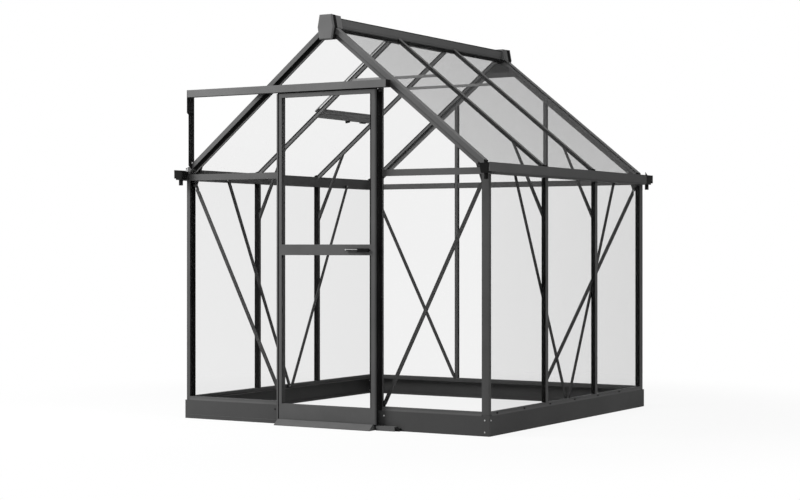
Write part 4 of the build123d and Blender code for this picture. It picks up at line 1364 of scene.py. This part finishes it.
@dataclass
class Handle:
    """The door handle's satin lever with a bolt on its left, its brightness partly a painted highlight, and
    its tapered black body.

    Attributes:
        finishes: The finishes.
        meeting: X at which the lever ends and the body begins.
        lever_in: From the handle's left end to the lever's.
        lever_front: How far the lever's middle is in front of the handle.
        lever_up: How far it is over the handle's middle.
        lever_size: Its thickness and height.
        bolt_place: How far the bolt is in from the handle's left end and over its middle.
        bolt_rings: Radius and height of each of the bolt's rings.
        bolt_sides: Points in a ring.
        body_half: Half the body's height at the lever.
        body_taper: How much of it is gone at the right end.
        body_back: How far its middle is behind the handle's front.
        body_deep: Half its depth.
        body_edge: Radius of its edges, as a share of half its size.
        body_rings: Number of its rings.
    """

    finishes: Finishes
    meeting: float = 0.200
    lever_in: float = 0.008
    lever_front: float = 0.0008
    lever_up: float = 0.003
    lever_size: Span = (0.0016, 0.0034)
    bolt_place: Span = (0.005, 0.002)
    bolt_rings: tuple[Span, ...] = ((0.0045, 0), (0.0045, 0.0020), (0.0030, 0.0034), (0.0010, 0.0038))
    bolt_sides: int = 16
    body_half: float = 0.0076
    body_taper: float = 0.0040
    body_back: float = 0.0075
    body_deep: float = 0.0085
    body_edge: float = 0.5
    body_rings: int = 9

    def build(self) -> None:
        """Place the lever with its bolt, and the body."""
        low, high = corners("door_handle")
        front, middle = low[1], (low[2] + high[2]) / 2
        y, z = front - self.lever_front, middle + self.lever_up
        lever = bar((low[0] + self.lever_in, y, z), (self.meeting, y, z), *self.lever_size)
        place = facing((0, -1, 0), (low[0] + self.bolt_place[0], front, middle + self.bolt_place[1]))
        bolt = turned(self.bolt_rings, self.bolt_sides).copies(place[None])
        # The lever's bright metal is partly a painted highlight.
        place_piece("handle_lever", merged([lever, bolt]), self.finishes.satin_metal_painted_highlight, Body.DOOR)
        body = self.body(front, middle, high[0])
        place_piece("handle_body", body, self.finishes.rubber, Body.DOOR)

    def body(self, front: float, middle: float, right: float) -> Surface:
        """Shape the body, which narrows to the right with the square of the way along it.

        With t from 0 to 1 along it and (u, v) on a rounded square of half size 1, a point is
        (meeting + t · length, front + back - u · deep, middle + v · (half - taper · t²)).

        Args:
            front: Y of the handle's front.
            middle: Height of its middle.
            right: X of its right end.

        Returns:
            The closed surface.
        """
        along = np.linspace(0, 1, self.body_rings)[:, None]
        section = rounded_section(2, 2, self.body_edge)
        grid = np.zeros((self.body_rings, len(section), 3))
        grid[..., 0] = self.meeting + (right - self.meeting) * along
        grid[..., 1] = front + self.body_back - section[:, 0] * self.body_deep
        grid[..., 2] = middle + section[:, 1] * (self.body_half - self.body_taper * along ** 2)
        return Surface(grid.reshape(-1, 3), tube_faces(*grid.shape[:2]))


@dataclass
class VentTrim:
    """Bright lip on the vent's lower rail as a painted highlight, and two catches below it.

    Attributes:
        finishes: The finishes.
        slope: The roof's planes.
        lip_in: Level distance from the vent's lower edge to the lip.
        lip_short: How far the lip ends before the vent's sides.
        lip_over: How far its middle is over the roof's plane.
        lip_size: Its width and thickness.
        catch_x: X of the catches.
        catches: Y and height of each catch's ends, its width and height, and the radius of its edges.
    """

    finishes: Finishes
    slope: Slope
    lip_in: float = 0.018
    lip_short: float = 0.006
    lip_over: float = 0.0102
    lip_size: Span = (0.003, 0.0012)
    catch_x: float = -0.507
    catches: tuple[tuple[Span, Span, Span, float], ...] = (
        ((0.004, 1.631), (0.036, 1.637), (0.012, 0.014), 0.0020),
        ((0.156, 1.636), (0.206, 1.636), (0.014, 0.007), 0.0015),
    )

    def build(self) -> None:
        """Place the lip and the catches."""
        low, high = corners("vent_frame")
        ends = [
            self.slope.point(-1, -low[0] - self.lip_in, y, -self.lip_over)
            for y in (low[1] + self.lip_short, high[1] - self.lip_short)
        ]
        lip = bar(*ends, *self.lip_size, self.slope.normal(-1))
        # Painted highlight: a thin bright strip for the light line along the vent.
        place_piece("vent_lip_painted_highlight", lip, self.finishes.satin_metal_painted_highlight, Body.HOUSE)
        catches = [
            bar((self.catch_x, *start), (self.catch_x, *stop), *size, radius=edge)
            for start, stop, size, edge in self.catches
        ]
        place_piece("vent_catches", merged(catches), self.finishes.plastic, Body.HOUSE)


@dataclass(frozen=True)
class Bolt:
    """Hexagon bolt head on a round washer.

    Attributes:
        flats: Width across the head's flats.
        head: Height of the head.
        chamfer: Chamfer of its top.
        crown: Radius at which the top closes, as a share of half the flats.
        washer: Radius of the washer.
        washer_height: Its height.
        sides: Points in a ring.
    """

    flats: float = 0.0055
    head: float = 0.0026
    chamfer: float = 0.0006
    crown: float = 0.4
    washer: float = 0.0042
    washer_height: float = 0.0008
    sides: int = 12

    def at(self, places: Sequence[np.ndarray]) -> Surface:
        """Shape the bolt and repeat it.

        Args:
            places: Matrices that stand it on its places.

        Returns:
            One surface with all the bolts.
        """
        foot, half = self.washer_height, self.flats / 2
        top = foot + self.head
        disc = turned([(self.washer, 0), (self.washer, foot), (half, foot)], self.sides)
        rings = [
            (half, foot), (half, top - self.chamfer), (half - self.chamfer, top), (half * self.crown, top)
        ]
        return merged([disc, turned(rings, self.sides, hexagon=True)]).copies(np.array(places))


@dataclass
class BaseTrim:
    """Bolts and a crease on the base.

    Attributes:
        finishes: The finishes.
        bolt: Shape of the bolts.
        bracket: From the base's outer face to the inner one of its corner brackets.
        corner_x: Distance of the corners' bolts from the middle.
        corner_z: Heights of the corners' bolts.
        inner: Y and heights of the bolts inside the left base, at its rear.
        front_bolts: X and height of the bright and of the dark bolt beside the door.
        side_bolt: Y and height of the bolt on the right side.
        crease_in: How far the crease begins inside the base's left end.
        crease_right: X at which it ends.
        crease_up: Its height.
        crease_front: How far its middle is in front of the base.
        crease_size: Its depth and height.
    """

    finishes: Finishes
    bolt: Bolt = Bolt()
    bracket: float = 0.004
    corner_x: float = 0.898
    corner_z: Span = (0.078, 0.020)
    inner: tuple[float, Span] = (0.925, (0.078, 0.018))
    front_bolts: tuple[Span, Span] = ((0.326, 0.074), (-0.338, 0.075))
    side_bolt: Span = (-0.937, 0.078)
    crease_in: float = 0.003
    crease_right: float = -0.300
    crease_up: float = 0.020
    crease_front: float = 0.0001
    crease_size: Span = (0.0014, 0.0012)

    def build(self) -> None:
        """Place the bright bolts, the crease and the dark bolt."""
        front, rear = corners("base_front")[0][1], corners("base_back")[1][1]
        side = corners("base_sides")[1][0]
        y, heights = self.inner
        bright, dark = (facing((0, -1, 0), (x, front, z)) for x, z in self.front_bolts)
        places = [facing((0, -1, 0), (self.corner_x, front, z)) for z in self.corner_z]
        places += [facing((0, 1, 0), (-self.corner_x, rear, z)) for z in self.corner_z]
        places += [facing((1, 0, 0), (self.bracket - side, y, z)) for z in heights]
        places += [bright, facing((1, 0, 0), (side, *self.side_bolt))]
        place_piece("base_bolts", self.bolt.at(places), self.finishes.bolt, Body.HOUSE)
        y, z = front - self.crease_front, self.crease_up
        crease = bar((self.crease_in - side, y, z), (self.crease_right, y, z), *self.crease_size)
        place_piece("base_crease", crease, self.finishes.painted_light_trim, Body.HOUSE)
        place_piece("base_bolt_dark", self.bolt.at([dark]), self.finishes.plastic, Body.HOUSE)


@dataclass
class FrameBolts:
    """Bolts where the braces and gussets are joined to the frame.

    Attributes:
        finishes: The finishes.
        bolt: Shape of the bolts.
        sheet: Thickness of the braces.
        front_bolt: X and height of the bolt that stands out on the front gable's left gusset.
        side_foot: Y and height of the bolt at the foot of a side's braces.
        side_top: Distance from the middle and height of the bolts at their tops.
        gable_bolts: Distance from the middle, height, and depth behind the braces of a gable's bolts.
    """

    finishes: Finishes
    bolt: Bolt = Bolt()
    sheet: float = 0.002
    front_bolt: Span = (-0.833, 1.349)
    side_foot: Span = (-0.008, 0.109)
    side_top: Span = (0.616, 1.287)
    gable_bolts: tuple[tuple[float, float, float], ...] = ((0.833, 1.350, 0.003), (0.872, 1.240, 0.009))

    def build(self) -> None:
        """Place the bolts."""
        inner = corners("wall_bars_right")[0][0] - self.sheet
        outer = corners("gable_braces")[1][1]
        places = [facing((0, -1, 0), (self.front_bolt[0], -outer, self.front_bolt[1]))]
        places += [facing((-sx, 0, 0), (sx * inner, *self.side_foot)) for sx in (-1, 1)]
        for sx, sy in SIGNS:
            places.append(facing((-sx, 0, 0), (sx * inner, sy * self.side_top[0], self.side_top[1])))
            places += [
                facing((0, -sy, 0), (sx * x, sy * (outer - back), z)) for x, z, back in self.gable_bolts
            ]
        place_piece("frame_bolts", self.bolt.at(places), self.finishes.bolt, Body.HOUSE)


@dataclass
class Studio:
    """Floor, lamps, surroundings and camera.

    Attributes:
        finishes: The finishes.
        floor_half: Half the floor's side.
        ambient: Strength of the surroundings as light on the object.
        aim: What the lamps point at.
        lamps: Place, side of the square and watts of each lamp, by its name.
        camera_place: Where the camera stands.
        camera_turn: Degrees it is turned about Z.
        lens: Its focal length in millimetres.
        sensor: Width of its sensor in millimetres.
        shift: Upward shift of its picture, as a share of the picture's longer side.
    """

    finishes: Finishes
    floor_half: float = 60.0
    ambient: float = 0.32
    aim: Vector = (0.0, 0.0, 0.9)
    lamps: dict[str, tuple[Vector, float, float]] = field(default_factory=lambda: {
        "key": ((-2.6, -3.2, 3.0), 2.2, 295.0), "rim": ((1.6, -1.4, 3.4), 1.0, 48.0),
    })
    camera_place: Vector = (4.952, -8.557, 0.932)
    camera_turn: float = 30.789
    lens: float = 79.9
    sensor: float = 36.0
    shift: float = -0.00696

    def build(self) -> None:
        """Make the whole studio."""
        self.floor()
        self.world()
        for name, (place, size, watts) in self.lamps.items():
            self.lamp(name, place, size, watts)
        self.camera()

    def floor(self) -> None:
        """Lay a large flat floor."""
        mesh = bpy.data.meshes.new("floor")
        points = [(sx * self.floor_half, sy * self.floor_half, 0) for sx, sy in SIGNS]
        mesh.from_pydata(points, [], [(0, 2, 3, 1)])
        mesh.materials.append(self.finishes.floor)
        floor = bpy.data.objects.new("floor", mesh)
        bpy.context.scene.collection.objects.link(floor)

    def world(self) -> None:
        """Make surroundings that are white to the eye and in mirrors, and a plainer light on the object."""
        graph = Graph.blank(bpy.data.worlds.new("studio"))
        light, white = (
            graph.add(
                "ShaderNodeBackground", Color=(*grey(1.0), 1.0), Strength=strength
            ).outputs["Background"]
            for strength in (self.ambient, 1.0)
        )
        sky = graph.mixed(graph.seen(), light, white)
        bpy.context.scene.world = graph.finish(sky, "ShaderNodeOutputWorld")

    def lamp(self, name: str, place: Vector, size: float, watts: float) -> None:
        """Hang a square lamp that points at the aim and isn't mirrored.

        Args:
            name: Name of the lamp.
            place: Where it hangs.
            size: Side of the square.
            watts: Its power.
        """
        data = bpy.data.lights.new(name, "AREA")
        data.size = size
        data.energy = watts
        lamp = bpy.data.objects.new(name, data)
        lamp.location = place
        lamp.visible_glossy = False
        aim = np.array(self.aim) - np.array(place)
        level = math.hypot(aim[0], aim[1])
        lamp.rotation_euler = (math.atan2(level, -aim[2]), 0.0, math.atan2(aim[1], aim[0]) - math.pi / 2)
        bpy.context.scene.collection.objects.link(lamp)

    def camera(self) -> None:
        """Set up the camera, level, at eye height."""
        data = bpy.data.cameras.new("view")
        data.lens = self.lens
        data.sensor_width = self.sensor
        data.shift_y = self.shift
        camera = bpy.data.objects.new("view", data)
        camera.location = self.camera_place
        camera.rotation_euler = (math.pi / 2, 0.0, math.radians(self.camera_turn))
        bpy.context.scene.collection.objects.link(camera)
        bpy.context.scene.camera = camera


def main() -> None:
    """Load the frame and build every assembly."""
    logging.basicConfig(level=logging.INFO, format="%(name)s: %(message)s")
    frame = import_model()
    bpy.context.scene.view_settings.view_transform = "Standard"
    finishes = Finishes()
    CadDress(finishes).build(frame)
    slope = Slope.of_frame()
    for assembly in (
        WallSeals(finishes), RoofSeals(finishes, slope), DoorSeals(finishes), RidgeTrim(finishes),
        Plugs(finishes), BraceTrim(finishes), TrackTrim(finishes), RampTrim(finishes), Handle(finishes),
        VentTrim(finishes, slope), BaseTrim(finishes), FrameBolts(finishes),
    ):
        assembly.build()
    Studio(finishes).build()


if __name__ == "__main__":
    main()
